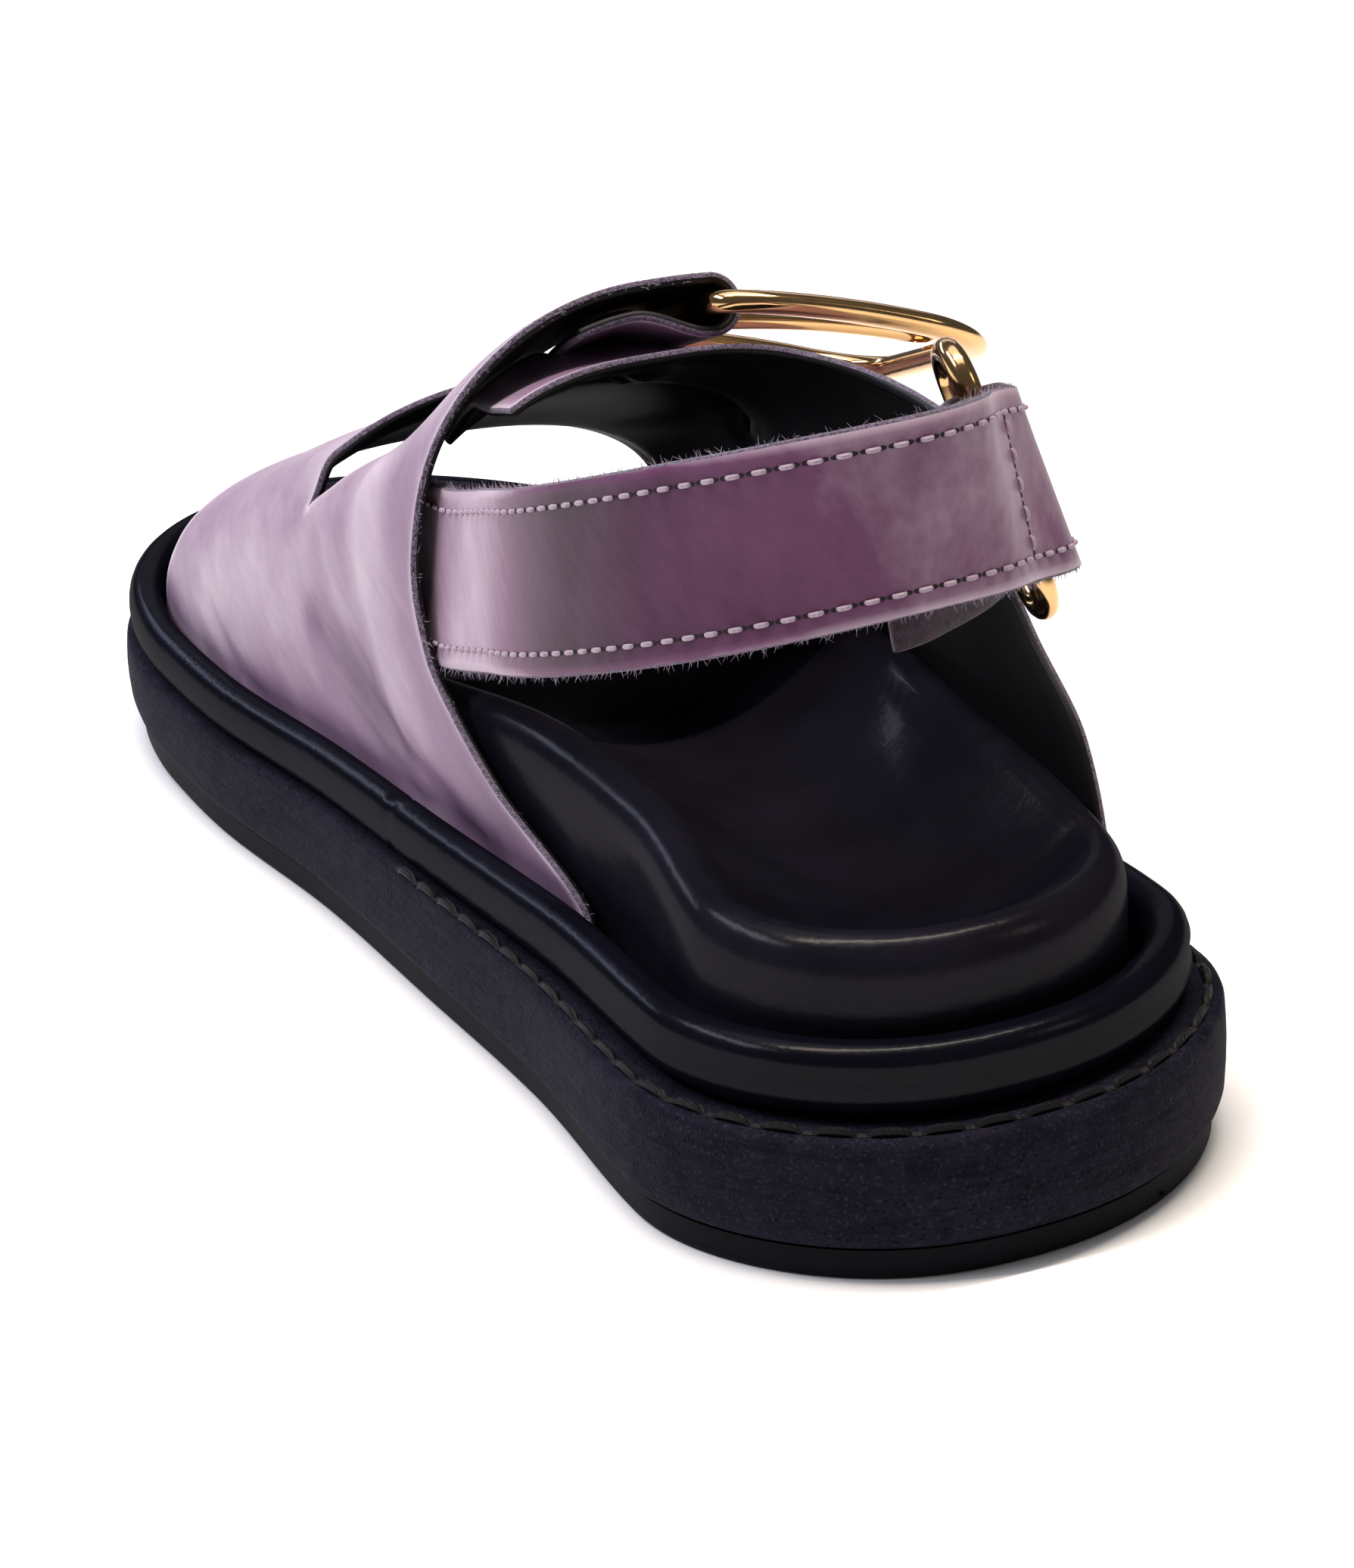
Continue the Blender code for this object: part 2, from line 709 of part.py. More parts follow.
def make_buckle_frame():
    axes = buckle_frame_axes()
    shell = Shell()
    path, across, binormal, sizes = [], [], [], []
    for u, v, a, b in buckle_loop():
        p = buckle_point(axes, u, v)
        du = buckle_point(axes, u + 0.1, v) - p
        normal = unit(np.cross(unit(du), axes[2]))
        thin = float(ease(1 - (u - 1.0) / 5.0))
        path.append(p)
        across.append(unit(du) * a + axes[2] * b)
        binormal.append(normal)
        sizes.append((
            BUCKLE_WIRE[0] / 2 * (1 - thin) + BAR_RADIUS * thin,
            BUCKLE_WIRE[1] / 2 * (1 - thin) + BAR_RADIUS * thin,
        ))
    tube(shell, path, across, binormal, sizes)
    return shell


def buckle_loop():
    """Centre line of the frame: large corners at the far end, small ones beside the bar."""
    far = rounded_loop(BUCKLE_LENGTH, BUCKLE_SPAN, BUCKLE_CORNER, 7)
    near = rounded_loop(BUCKLE_LENGTH, BUCKLE_SPAN, 2.6, 3)
    return far[:8] + near[4:12] + far[24:]


def make_buckle_prong():
    axes = buckle_frame_axes()
    fold = BAR_RADIUS + FOLD_CLEAR + LEATHER
    end_lift = BUCKLE_WIRE[1] / 2 + PRONG_RADIUS + GAP
    path = []
    for t in np.linspace(0, 1, 7):
        u = fold + 1.0 + (BUCKLE_LENGTH - fold) * t
        path.append(buckle_point(axes, u, 0.0, end_lift * t))
    return round_wire(path, PRONG_RADIUS, False)


def make_toe_strap_end():
    """Strap end lying over the outer side of the toe band, its tip a little lifted."""
    lie = LEATHER + 3 * GAP
    rows = []
    for s in np.linspace(*TAB_S, 6):
        row = []
        for y in np.linspace(*TAB_Y, 5):
            point, _, _, out = last_frame(s, y)
            row.append(point + out * lie)
        rows.append(np.array(row))
    _, along, toward_toe, out = last_frame(TAB_S[1], sum(TAB_Y) / 2)
    point = rows[-1]
    step = TAB_FREE / 6
    for k in range(1, 7):
        turn = TAB_CURL * k / 3
        point = point + step * (along * cos(turn) + out * sin(turn))
        narrow = 1 - 0.35 * max(0.0, k / 6 - 0.6) ** 2 * 6
        rows.append(point.mean(0) + (point - point.mean(0)) * narrow)
    shell = Shell()
    add_sheet(shell, [np.array(rows)], LEATHER)
    return shell


# Piece: how it is made, colour, metallic, roughness
PIECES = {
    "tread": (make_tread, (0.016, 0.016, 0.019), 0.0, 0.75),
    "slab": (make_slab, (0.022, 0.022, 0.026), 0.0, 0.9),
    "rand": (make_rand, (0.012, 0.012, 0.016), 0.0, 0.35),
    "footbed": (make_footbed, (0.013, 0.012, 0.015), 0.0, 0.45),
    "upper": (make_upper, (0.36, 0.25, 0.36), 0.0, 0.4),
    "back_strap": (make_back_strap, (0.27, 0.16, 0.25), 0.0, 0.4),
    "ring_loop": (make_ring_loop, (0.27, 0.16, 0.25), 0.0, 0.4),
    "ring": (make_ring, (0.86, 0.60, 0.29), 1.0, 0.15),
    "buckle_frame": (make_buckle_frame, (0.86, 0.60, 0.29), 1.0, 0.15),
    "buckle_prong": (make_buckle_prong, (0.86, 0.60, 0.29), 1.0, 0.15),
    "toe_strap_end": (make_toe_strap_end, (0.30, 0.19, 0.29), 0.0, 0.4),
}


def build():
    for old in list(bpy.data.objects):
        bpy.data.objects.remove(old, do_unlink=True)
    collection = bpy.data.collections.new(OBJECT_NAME)
    bpy.context.scene.collection.children.link(collection)
    for name, (make, colour, metallic, roughness) in PIECES.items():
        form = make()
        data = form.mesh() if isinstance(form, Shell) else form
        data.name = name
        material = bpy.data.materials.new(name + "_material")
        material.use_nodes = True
        shader = material.node_tree.nodes["Principled BSDF"]
        shader.inputs["Base Color"].default_value = (*colour, 1.0)
        shader.inputs["Metallic"].default_value = metallic
        shader.inputs["Roughness"].default_value = roughness
        data.materials.append(material)
        collection.objects.link(bpy.data.objects.new(name, data))


build()
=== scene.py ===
from math import cos, pi, radians, sin

import bmesh
import bpy
import numpy as np
from mathutils import Matrix, Vector


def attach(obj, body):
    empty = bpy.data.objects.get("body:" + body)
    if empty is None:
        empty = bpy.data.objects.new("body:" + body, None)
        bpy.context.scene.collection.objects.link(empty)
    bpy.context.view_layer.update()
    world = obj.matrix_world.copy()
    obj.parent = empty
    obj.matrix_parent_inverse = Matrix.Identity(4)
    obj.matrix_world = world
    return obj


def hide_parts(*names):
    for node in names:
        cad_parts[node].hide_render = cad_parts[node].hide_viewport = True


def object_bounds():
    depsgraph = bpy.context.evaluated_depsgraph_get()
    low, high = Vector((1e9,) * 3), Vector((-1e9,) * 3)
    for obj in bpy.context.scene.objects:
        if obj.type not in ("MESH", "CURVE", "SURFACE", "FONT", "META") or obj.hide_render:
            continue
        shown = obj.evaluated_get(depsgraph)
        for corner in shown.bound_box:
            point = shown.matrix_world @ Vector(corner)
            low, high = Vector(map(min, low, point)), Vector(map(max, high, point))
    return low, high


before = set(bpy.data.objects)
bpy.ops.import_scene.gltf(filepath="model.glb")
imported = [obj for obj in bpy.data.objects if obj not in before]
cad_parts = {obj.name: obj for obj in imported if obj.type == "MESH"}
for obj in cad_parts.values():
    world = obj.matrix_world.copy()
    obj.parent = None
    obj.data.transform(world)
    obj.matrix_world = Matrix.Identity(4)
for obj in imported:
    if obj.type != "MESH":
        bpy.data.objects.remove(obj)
cad_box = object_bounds()

# Tread
# The real piece is a thin sheet of black rubber, moulded with small pyramids in wavy rows
# and a bare pad under the waist, and cemented under the foam slab a little inside its edge.
# Shoe coordinates are millimetres: x to the outer side, y from heel to toe, z up.
MM = 0.001
SHOE_ZERO = np.array((5.3, 127.5, 0.0))
SOLE_LENGTH = (cad_box[1].y - cad_box[0].y) / MM
# Sole outline: fraction of the length, half-width to the inner and the outer side
OUTLINE = (
    (0.00, 34.0, 38.0),
    (0.12, 37.5, 43.5),
    (0.28, 36.0, 41.2),
    (0.42, 37.2, 43.8),
    (0.56, 38.6, 48.0),
    (0.70, 42.3, 52.0),
    (0.85, 42.7, 49.8),
    (1.00, 44.0, 40.0),
)
# Rounding of the heel and the toe: fraction of the length, power
HEEL_ROUND = (0.14, 2.2)
TOE_ROUND = (0.22, 2.1)
AROUND = 400
TREAD_THICK = 4.0
TREAD_INSET = 1.6
TREAD_LIP = 2.4
TREAD_DEPTH = 1.5
# Section of the tread's edge: distance in from it, height
TREAD_PROFILE = (
    (TREAD_LIP + 3.0, TREAD_DEPTH), (TREAD_LIP + 0.4, TREAD_DEPTH), (TREAD_LIP, 0.25),
    (TREAD_LIP - 0.25, 0.0), (0.8, 0.0), (0.25, 0.25), (0.0, 0.8), (0.0, TREAD_THICK),
)
TOE_SPRING = 4.0
SPRING_FROM = 168.0
# Pyramids: pitch across and along, swell of the spacing and its wave, bend of a row with its
# wave and shift, and the share of the pitch that the base and the tip fill
PYRAMID_PITCH = (4.8, 2.6)
PYRAMID_WAVE = (0.55, 62.0)
ROW_BEND = (2.2, 70.0, 10.0)
PYRAMID_BASE = 0.96
PYRAMID_TIP = 0.3
ROW_SPAN = (-52.0, 58.0)
ROW_ENDS = (6.0, 5.0)
BARE_ENDS = (8.0, 9.0)
# Bare pad: middle, half-sizes, height above the floor, margin round it, power of its corners
PAD_MIDDLE = (-4.0, 131.0)
PAD_HALF = (21.0, 13.5)
PAD_DEPTH = 0.4
PAD_MARGIN = 2.2
PAD_CORNER = 0.35


def hermite(knots, values, slopes, at):
    """Cubic curve through values at knots with the given slopes, held level past its ends."""
    at = np.clip(np.asarray(at, float), knots[0], knots[-1])
    i = np.clip(np.searchsorted(knots, at) - 1, 0, len(knots) - 2)
    span = knots[i + 1] - knots[i]
    t = (at - knots[i]) / span
    start = values[i] * (1 + 2 * t) * (1 - t) ** 2 + slopes[i] * span * t * (1 - t) ** 2
    end = values[i + 1] * t * t * (3 - 2 * t) + slopes[i + 1] * span * t * t * (t - 1)
    return start + end


def smooth(table, column, at):
    """Curve through one column of a table, evaluated at the first column's values."""
    rows = np.array(table, float)
    knots, values = rows[:, 0], rows[:, column]
    return hermite(knots, values, np.gradient(values, knots), at)


def ease(t):
    t = np.clip(t, 0.0, 1.0)
    return t * t * (3 - 2 * t)


def side_width(u, column):
    """Half-width of the sole at fraction u, rounded off at heel and toe."""
    length, power = HEEL_ROUND
    heel = (1 - np.clip(1 - u / length, 0, 1) ** power) ** (1 / power)
    length, power = TOE_ROUND
    toe = (1 - np.clip(1 - (1 - u) / length, 0, 1) ** power) ** (1 / power)
    return smooth(OUTLINE, column, u) * heel * toe


def side_curve(column, sign):
    """Evenly spaced points of one side of the outline, heel to toe."""
    u = (1 - np.cos(np.linspace(0, pi, 2000))) / 2
    x = sign * side_width(u, column)
    y = u * SOLE_LENGTH
    run = np.concatenate([[0], np.cumsum(np.hypot(np.diff(x), np.diff(y)))])
    even = np.linspace(0, run[-1], AROUND // 2 + 1)
    return np.interp(even, run, x), np.interp(even, run, y)


def outline():
    """Ring of points (heel, inner side, toe, outer side) and their outward directions."""
    inner_x, inner_y = side_curve(1, -1)
    outer_x, outer_y = side_curve(2, 1)
    x = np.concatenate([inner_x, outer_x[-2:0:-1]])
    y = np.concatenate([inner_y, outer_y[-2:0:-1]])
    tx = np.roll(x, -2) - np.roll(x, 2)
    ty = np.roll(y, -2) - np.roll(y, 2)
    length = np.hypot(tx, ty)
    return np.stack([x, y], 1), np.stack([-ty / length, tx / length], 1)


EDGE, OUTWARD = outline()
INNER_SIDE = np.arange(AROUND) <= AROUND // 2


def inset(distance):
    """The outline moved inward by a distance given for each of its points."""
    return EDGE - OUTWARD * np.broadcast_to(distance, AROUND)[:, None]


def at_height(plan, height):
    return np.column_stack([plan, np.broadcast_to(height, len(plan))])


def bottom_z(y):
    rise = np.clip((y - SPRING_FROM) / (SOLE_LENGTH - SPRING_FROM), 0, None)
    return TOE_SPRING * rise ** 2


class Form:
    """Points in shoe millimetres, faces, and each face's material slot."""

    def __init__(self):
        self.points = []
        self.faces = []
        self.slots = []
        self.count = 0

    def add(self, points):
        points = np.asarray(points, float).reshape(-1, 3)
        self.points.append(points)
        self.count += len(points)
        return np.arange(self.count - len(points), self.count)

    def quads(self, a, b, c, d, slot=0):
        block = np.stack([np.ravel(ids) for ids in (a, b, c, d)], 1)
        self.faces.extend(map(tuple, block.tolist()))
        self.slots.extend([slot] * len(block))

    def face(self, ids, slot=0):
        self.faces.append(tuple(int(i) for i in ids))
        self.slots.append(slot)

    def loft(self, rows, closed=True, slot=0):
        """Quads between neighbouring rows of points; closed rows wrap round."""
        ids = [self.add(row) for row in rows]
        for low, high in zip(ids, ids[1:]):
            if closed:
                self.quads(low, np.roll(low, -1), np.roll(high, -1), high, slot)
            else:
                self.quads(low[:-1], low[1:], high[1:], high[:-1], slot)
        return ids

    def rungs(self, ring, slot=0):
        """Close a sole-shaped ring with strips from its inner to its outer side."""
        half = len(ring) // 2
        i = np.arange(1, half - 1)
        self.face((ring[0], ring[1], ring[-1]), slot)
        self.quads(ring[i], ring[i + 1], ring[-(i + 1)], ring[-i], slot)
        self.face((ring[half - 1], ring[half], ring[half + 1]), slot)

    def caps(self, ids):
        """Close both ends of a loft, each with one face."""
        self.face(ids[0])
        self.face(ids[-1])


def add_piece(name, form, materials, record_slot, *nodes):
    """Mesh object from a form, riding on the sandal's one body in place of its solids."""
    mesh = bpy.data.meshes.new(name)
    points = (np.concatenate(form.points) - SHOE_ZERO) * MM
    mesh.from_pydata(points.tolist(), [], form.faces)
    for material in materials:
        mesh.materials.append(material)
    mesh.polygons.foreach_set("material_index", np.array(form.slots, np.int32))
    shaped = bmesh.new()
    shaped.from_mesh(mesh)
    bmesh.ops.recalc_face_normals(shaped, faces=shaped.faces[:])
    shaped.to_mesh(mesh)
    shaped.free()
    mesh.shade_smooth()
    mesh.set_sharp_from_angle(angle=radians(50))
    piece = bpy.data.objects.new(name, mesh)
    bpy.context.scene.collection.objects.link(piece)
    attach(piece, "root")
    if nodes:
        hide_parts(*nodes)
    return piece


def hex_linear(code):
    """Linear colour from an sRGB hex value."""
    values = np.array([int(code[i:i + 2], 16) / 255 for i in (1, 3, 5)])
    linear = np.where(values <= 0.04045, values / 12.92, ((values + 0.055) / 1.055) ** 2.4)
    return (*linear.tolist(), 1.0)


def set_sockets(tree, node, sockets):
    """Set a node's sockets; one that is given another socket is linked to it."""
    for key, value in sockets.items():
        if isinstance(value, bpy.types.NodeSocket):
            tree.links.new(value, node.inputs[key])
        else:
            node.inputs[key].default_value = value


def put(tree, kind, sockets=None, **settings):
    """Add a shader node with its settings and sockets."""
    made = tree.nodes.new("ShaderNode" + kind)
    for key, value in settings.items():
        setattr(made, key, value)
    set_sockets(tree, made, sockets or {})
    return made


def start_material(name):
    """New material's node tree, its shader and its coordinates in the shoe's own metres."""
    material = bpy.data.materials.new(name)
    material.use_nodes = True
    tree = material.node_tree
    shader = tree.nodes["Principled BSDF"]
    where = put(tree, "TexCoord").outputs["Object"]
    return material, tree, shader, where


def per(size_mm):
    """Texture scale whose features are about this many millimetres."""
    return 1 / (size_mm * MM)


def noise(tree, where, size_mm, detail, roughness=0.5, distortion=0.0):
    """Clouds whose features are about this many millimetres."""
    return put(tree, "TexNoise", {
        "Vector": where, "Scale": per(size_mm), "Detail": detail,
        "Roughness": roughness, "Distortion": distortion,
    }).outputs["Fac"]


def ramp(tree, value, first, last, *between):
    """Colours blended between stops, each a position and an sRGB hex value."""
    made = put(tree, "ValToRGB", {"Fac": value})
    stops = made.color_ramp.elements
    for stop, (position, code) in zip(stops, (first, last)):
        stop.position = position
        stop.color = hex_linear(code)
    for position, code in between:
        stops.new(position).color = hex_linear(code)
    return made.outputs["Color"]


def bumped(tree, height, strength, depth_mm, under=None):
    """Relief of this depth in millimetres, laid over another relief where one is given."""
    sockets = {"Height": height, "Strength": strength, "Distance": depth_mm * MM}
    if under is not None:
        sockets["Normal"] = under
    return put(tree, "Bump", sockets).outputs["Normal"]


def moulded_rubber():
    """Vulcanised black rubber from a blasted mould: matt, a little grey dust in the grain."""
    material, tree, shader, where = start_material("moulded_rubber")
    dust = noise(tree, where, 9, 6.0)
    grain = noise(tree, where, 0.5, 3.0)
    set_sockets(tree, shader, {
        "Base Color": ramp(tree, dust, (0.35, "#06050b"), (0.75, "#0a0911")),
        "Roughness": 0.7,
        "IOR": 1.45,
        "Specular IOR Level": 0.12,
        "Normal": bumped(tree, grain, 0.35, 0.15),
    })
    return material


def inside_sole(x, y, margin):
    u = np.clip(y / SOLE_LENGTH, 0.001, 0.999)
    return (x > margin - side_width(u, 1)) & (x < side_width(u, 2) - margin)


def pyramid_places():
    """Middles of the pyramids: staggered rows whose spacing swells and shrinks along the sole."""
    pitch_x, pitch_y = PYRAMID_PITCH
    swell, wave = PYRAMID_WAVE
    bend, bend_wave, bend_shift = ROW_BEND
    places = []
    y, row = ROW_ENDS[0], 0
    while y < SOLE_LENGTH - ROW_ENDS[1]:
        step = pitch_y * (1 + swell * 0.5 * sin(2 * pi * y / wave))
        shift = pitch_x / 2 * (row % 2)
        for x in np.arange(*ROW_SPAN, pitch_x) + shift:
            places.append((x, y + bend * sin(2 * pi * (x + bend_shift) / bend_wave), step))
        y += step
        row += 1
    places = np.array(places)
    x, y = places[:, 0], places[:, 1]
    sole = inside_sole(x, y, TREAD_INSET + TREAD_LIP + pitch_x / 2)
    sole &= (y > BARE_ENDS[0]) & (y < SOLE_LENGTH - BARE_ENDS[1])
    from_pad = abs(places[:, :2] - PAD_MIDDLE) - PAD_HALF
    return places[sole & (from_pad.max(1) >= PAD_MARGIN)]


def make_tread():
    form = Form()
    rows = []
    for back, height in TREAD_PROFILE:
        plan = inset(TREAD_INSET + back)
        rows.append(at_height(plan, bottom_z(plan[:, 1]) + height))
    ids = form.loft(rows)
    form.rungs(ids[0])
    form.rungs(ids[-1])
    corners = np.array(((1, 0), (0, 1), (-1, 0), (0, -1)), float)
    for x, y, step in pyramid_places():
        half = np.array((PYRAMID_PITCH[0] / 2 * PYRAMID_BASE, step * PYRAMID_BASE))
        base = np.array((x, y)) + corners * half
        tip = np.array((x, y)) + corners * half * PYRAMID_TIP
        low = float(bottom_z(y))
        form.caps(form.loft([at_height(base, low + TREAD_DEPTH), at_height(tip, low)]))
    turn = np.linspace(0, 2 * pi, 41)[:-1]
    circle = np.column_stack([np.cos(turn), np.sin(turn)])
    from_middle = PAD_HALF * np.sign(circle) * abs(circle) ** PAD_CORNER
    pad = PAD_MIDDLE + from_middle
    form.caps(form.loft([
        at_height(pad, TREAD_DEPTH),
        at_height(pad, PAD_DEPTH + 0.2),
        at_height(PAD_MIDDLE + from_middle * 0.985, PAD_DEPTH),
    ]))
    return form


add_piece("tread_sheet", make_tread(), [moulded_rubber()], "tread_rubber", "tread")

# Slab
# The platform is a thick block of light foam rubber, cut and ground to the sole's outline,
# its skin open-pored and matt. The rand, footbed and upper are stitched and cemented to it.
# Top of the slab: y, z
SLAB_TOP = ((0, 18.9), (60, 18.9), (110, 18.2), (170, 16.4), (215, 16.6), (255, 18.0))
SLAB_UNDER = TREAD_THICK + 0.3
SLAB_LEDGE = 15.0
# Foot of its wall: distance in from the outline, height above its underside
SLAB_FOOT = ((1.6, 0.0), (0.9, 0.5), (0.35, 1.3), (0.0, 2.4))
# Shares of the wall's height where it swells, and by how much
SLAB_WALL = (0.3, 0.55, 0.8)
SLAB_SWELL = 0.25
# Top edge: distance in from the outline, drop below the top
SLAB_RIM = ((0.0, 1.0), (0.3, 0.3), (1.0, 0.0), (SLAB_LEDGE, 0.0))


def slab_top(y):
    return smooth(SLAB_TOP, 1, y)


def stretch(tree, value, source=(0.0, 1.0), target=(0.0, 1.0)):
    """Value carried from one range to another."""
    return put(tree, "MapRange", {
        "Value": value, "From Min": source[0], "From Max": source[1],
        "To Min": target[0], "To Max": target[1],
    }).outputs["Result"]


def blend(tree, share, one, other):
    """Colour between two, by a share."""
    return put(tree, "Mix", {0: share, 6: one, 7: other}, data_type="RGBA").outputs[2]


def ground_foam():
    """Black foam rubber ground to shape: charcoal, matt, open pores with painted shade darkening their
    bottoms, flecks and faint grinding lines; pores and lines are drawn coarser than life, so that they show."""
    material, tree, shader, where = start_material("ground_foam_rubber")
    tint = ramp(tree, noise(tree, where, 4, 5.0, 0.65), (0.3, "#09080e"), (0.75, "#1b1924"))
    pores = put(tree, "TexVoronoi", {"Vector": where, "Scale": per(1.1), "Randomness": 1.0})
    pit = stretch(tree, pores.outputs["Distance"], (0.08, 0.3))
    flake = stretch(tree, noise(tree, where, 0.5, 3.0), (0.56, 0.8))
    flat = put(tree, "Mapping", {"Vector": where, "Scale": (0.05, 0.05, 1.0)})
    lines = noise(tree, flat.outputs["Vector"], 0.8, 2.0)
    track = stretch(tree, lines, (0.5, 0.7), (0.0, 0.55))
    # Pores darker towards their bottoms: painted shade in the pits
    painted_pore_shade = blend(tree, pit, hex_linear("#0b0b0d"), tint)
    flecked = blend(tree, flake, painted_pore_shade, hex_linear("#2f2d39"))
    set_sockets(tree, shader, {
        "Base Color": blend(tree, track, flecked, hex_linear("#060509")),
        "Roughness": 0.85,
        "IOR": 1.45,
        "Specular IOR Level": 0.16,
        "Specular Tint": hex_linear("#c4c6ff"),
        "Normal": bumped(tree, pit, 0.7, 0.35, bumped(tree, lines, 0.6, 0.2)),
    })
    return material


def make_slab():
    form = Form()
    rows = []
    for back, lift in SLAB_FOOT:
        plan = inset(back)
        rows.append(at_height(plan, bottom_z(plan[:, 1]) + SLAB_UNDER + lift))
    for share in SLAB_WALL:
        plan = inset(-SLAB_SWELL * sin(pi * share))
        low = bottom_z(plan[:, 1]) + SLAB_UNDER + SLAB_FOOT[-1][1]
        rows.append(at_height(plan, low + (slab_top(plan[:, 1]) - SLAB_RIM[0][1] - low) * share))
    for back, drop in SLAB_RIM:
        plan = inset(back)
        rows.append(at_height(plan, slab_top(plan[:, 1]) - drop))
    ids = form.loft(rows)
    form.rungs(ids[0])
    form.rungs(ids[-1])
    return form


add_piece("foam_slab", make_slab(), [ground_foam()], "foam_rubber", "slab")

# Rand
# A roll of black calf leather round a soft core, lying on the slab along the foot of the upper.
# Its two ends butt at the inner side, and waxed black thread holds it to the slab round the heel.
# Rand: y, ledge left outside it, its width, its height
RAND = (
    (0, 4.6, 6.4, 9.6),
    (45, 3.2, 6.2, 9.4),
    (85, 1.4, 5.6, 8.6),
    (110, 0.8, 5.4, 8.2),
    (180, 0.7, 5.4, 7.8),
    (255, 0.8, 5.6, 7.6),
)
GAP = 0.3
RAND_SIDES = 28
RAND_SQUARE = 0.85
# Butt seam: y, half-width, depth as a share of the roll
BUTT_SEAM = (116.0, 0.7, 0.07)
# Groove along the heel: depth as a share of the roll, turn and half-width in radians, end, fade
GROOVE = (0.16, 0.12, 0.22, 78.0, 40.0)
# Stitches: pitch, length, radius
LEDGE_STITCH = (6.4, 5.6, 0.6)
LEDGE_STITCH_TO = (112.0, 96.0)
LEDGE_SHARE = 0.52


def rand_inner(y):
    """Distance from the outline to the inside of the rand."""
    return smooth(RAND, 1, y) + smooth(RAND, 2, y)


def black_calf(name, dark, pale):
    """Drum-dyed calf with a polished finish: blue-black, a satin sheen on its curves, and pores
    drawn coarser than life, so that they show."""
    material, tree, shader, where = start_material(name)
    cloud = noise(tree, where, 16, 3.0)
    grain = put(tree, "TexVoronoi", {"Vector": where, "Scale": per(0.8)}, feature="SMOOTH_F1")
    wrinkle = noise(tree, where, 5.0, 5.0, 0.6)
    bump = bumped(tree, wrinkle, 0.16, 0.5, bumped(tree, grain.outputs["Distance"], 0.16, 0.1))
    set_sockets(tree, shader, {
        "Base Color": ramp(tree, cloud, (0.3, dark), (0.8, pale)),
        "Roughness": stretch(tree, cloud, target=(0.45, 0.65)),
        "Specular IOR Level": 0.0,
        "Coat Weight": 0.066,
        "Coat Roughness": 0.22,
        "Coat IOR": 2.0,
        "Coat Normal": bump,
        "Normal": bump,
    })
    return material


def make_rand():
    form = Form()
    y = EDGE[:, 1]
    ledge, width, height = (smooth(RAND, c, y) for c in (1, 2, 3))
    butt_y, butt_half, butt_depth = BUTT_SEAM
    butt = INNER_SIDE * np.exp(-((y - butt_y) / butt_half) ** 2)
    groove_depth, groove_turn, groove_half, groove_to, groove_fade = GROOVE
    groove = groove_depth * ease((groove_to - y) / groove_fade)
    rows = []
    for turn in np.linspace(0, 2 * pi, RAND_SIDES + 1)[:-1]:
        across = np.sign(cos(turn)) * abs(cos(turn)) ** RAND_SQUARE
        upward = np.sign(sin(turn)) * abs(sin(turn)) ** RAND_SQUARE
        shrink = 1 - butt_depth * butt - groove * np.exp(-((turn - groove_turn) / groove_half) ** 2)
        plan = inset(ledge + width * (0.5 - across / 2 * shrink))
        z = slab_top(y) + GAP + height * (0.5 + upward / 2 * shrink)
        rows.append(at_height(plan, z))
    form.loft(rows + rows[:1])
    return form


def merged(points, digits):
    """Which points to keep where some coincide, and every point's number among the kept."""
    _, first, inverse = np.unique(np.round(points, digits), axis=0, return_index=True, return_inverse=True)
    return first, inverse.ravel()


def weld(form):
    """The form with coinciding points made one."""
    points = np.concatenate(form.points)
    first, number = merged(points, 4)
    form.points = [points[first]]
    form.count = len(first)
    form.faces = [tuple(int(number[i]) for i in f) for f in form.faces]
    return form


rand_calf = black_calf("polished_black_calf", "#07070d", "#0c0c16")
rand_roll = add_piece("rand_roll", weld(make_rand()), [rand_calf], "black_leather", "rand")


def waxed_thread(name, code):
    """Linen thread drawn through wax: twisted ply, low sheen."""
    material, tree, shader, where = start_material(name)
    ply = put(tree, "TexWave", {"Vector": where, "Scale": per(2.4), "Distortion": 1.0})
    set_sockets(tree, shader, {
        "Base Color": hex_linear(code),
        "Roughness": 0.6,
        "Specular IOR Level": 0.2,
        "Normal": bumped(tree, ply.outputs["Fac"], 0.6, 0.15),
    })
    return material


def hole_shadow_paint():
    """Painted shadow in an awl's hole: nearly black and dull."""
    material, tree, shader, _ = start_material("awl_hole_painted_shadow")
    set_sockets(tree, shader, {"Base Color": hex_linear("#0d090d"), "Roughness": 0.9})
    return material


def run_along(points):
    """Distance of each point of a line from its first, measured along it."""
    return np.concatenate([[0], np.cumsum(np.linalg.norm(np.diff(points, axis=0), axis=1))])


def along_line(points, distance):
    """Points at given distances along a line, and its length."""
    run = run_along(points)
    return np.column_stack([np.interp(distance, run, points[:, c]) for c in range(3)]), run[-1]


def unit_rows(v):
    return v / np.linalg.norm(v, axis=-1, keepdims=True)


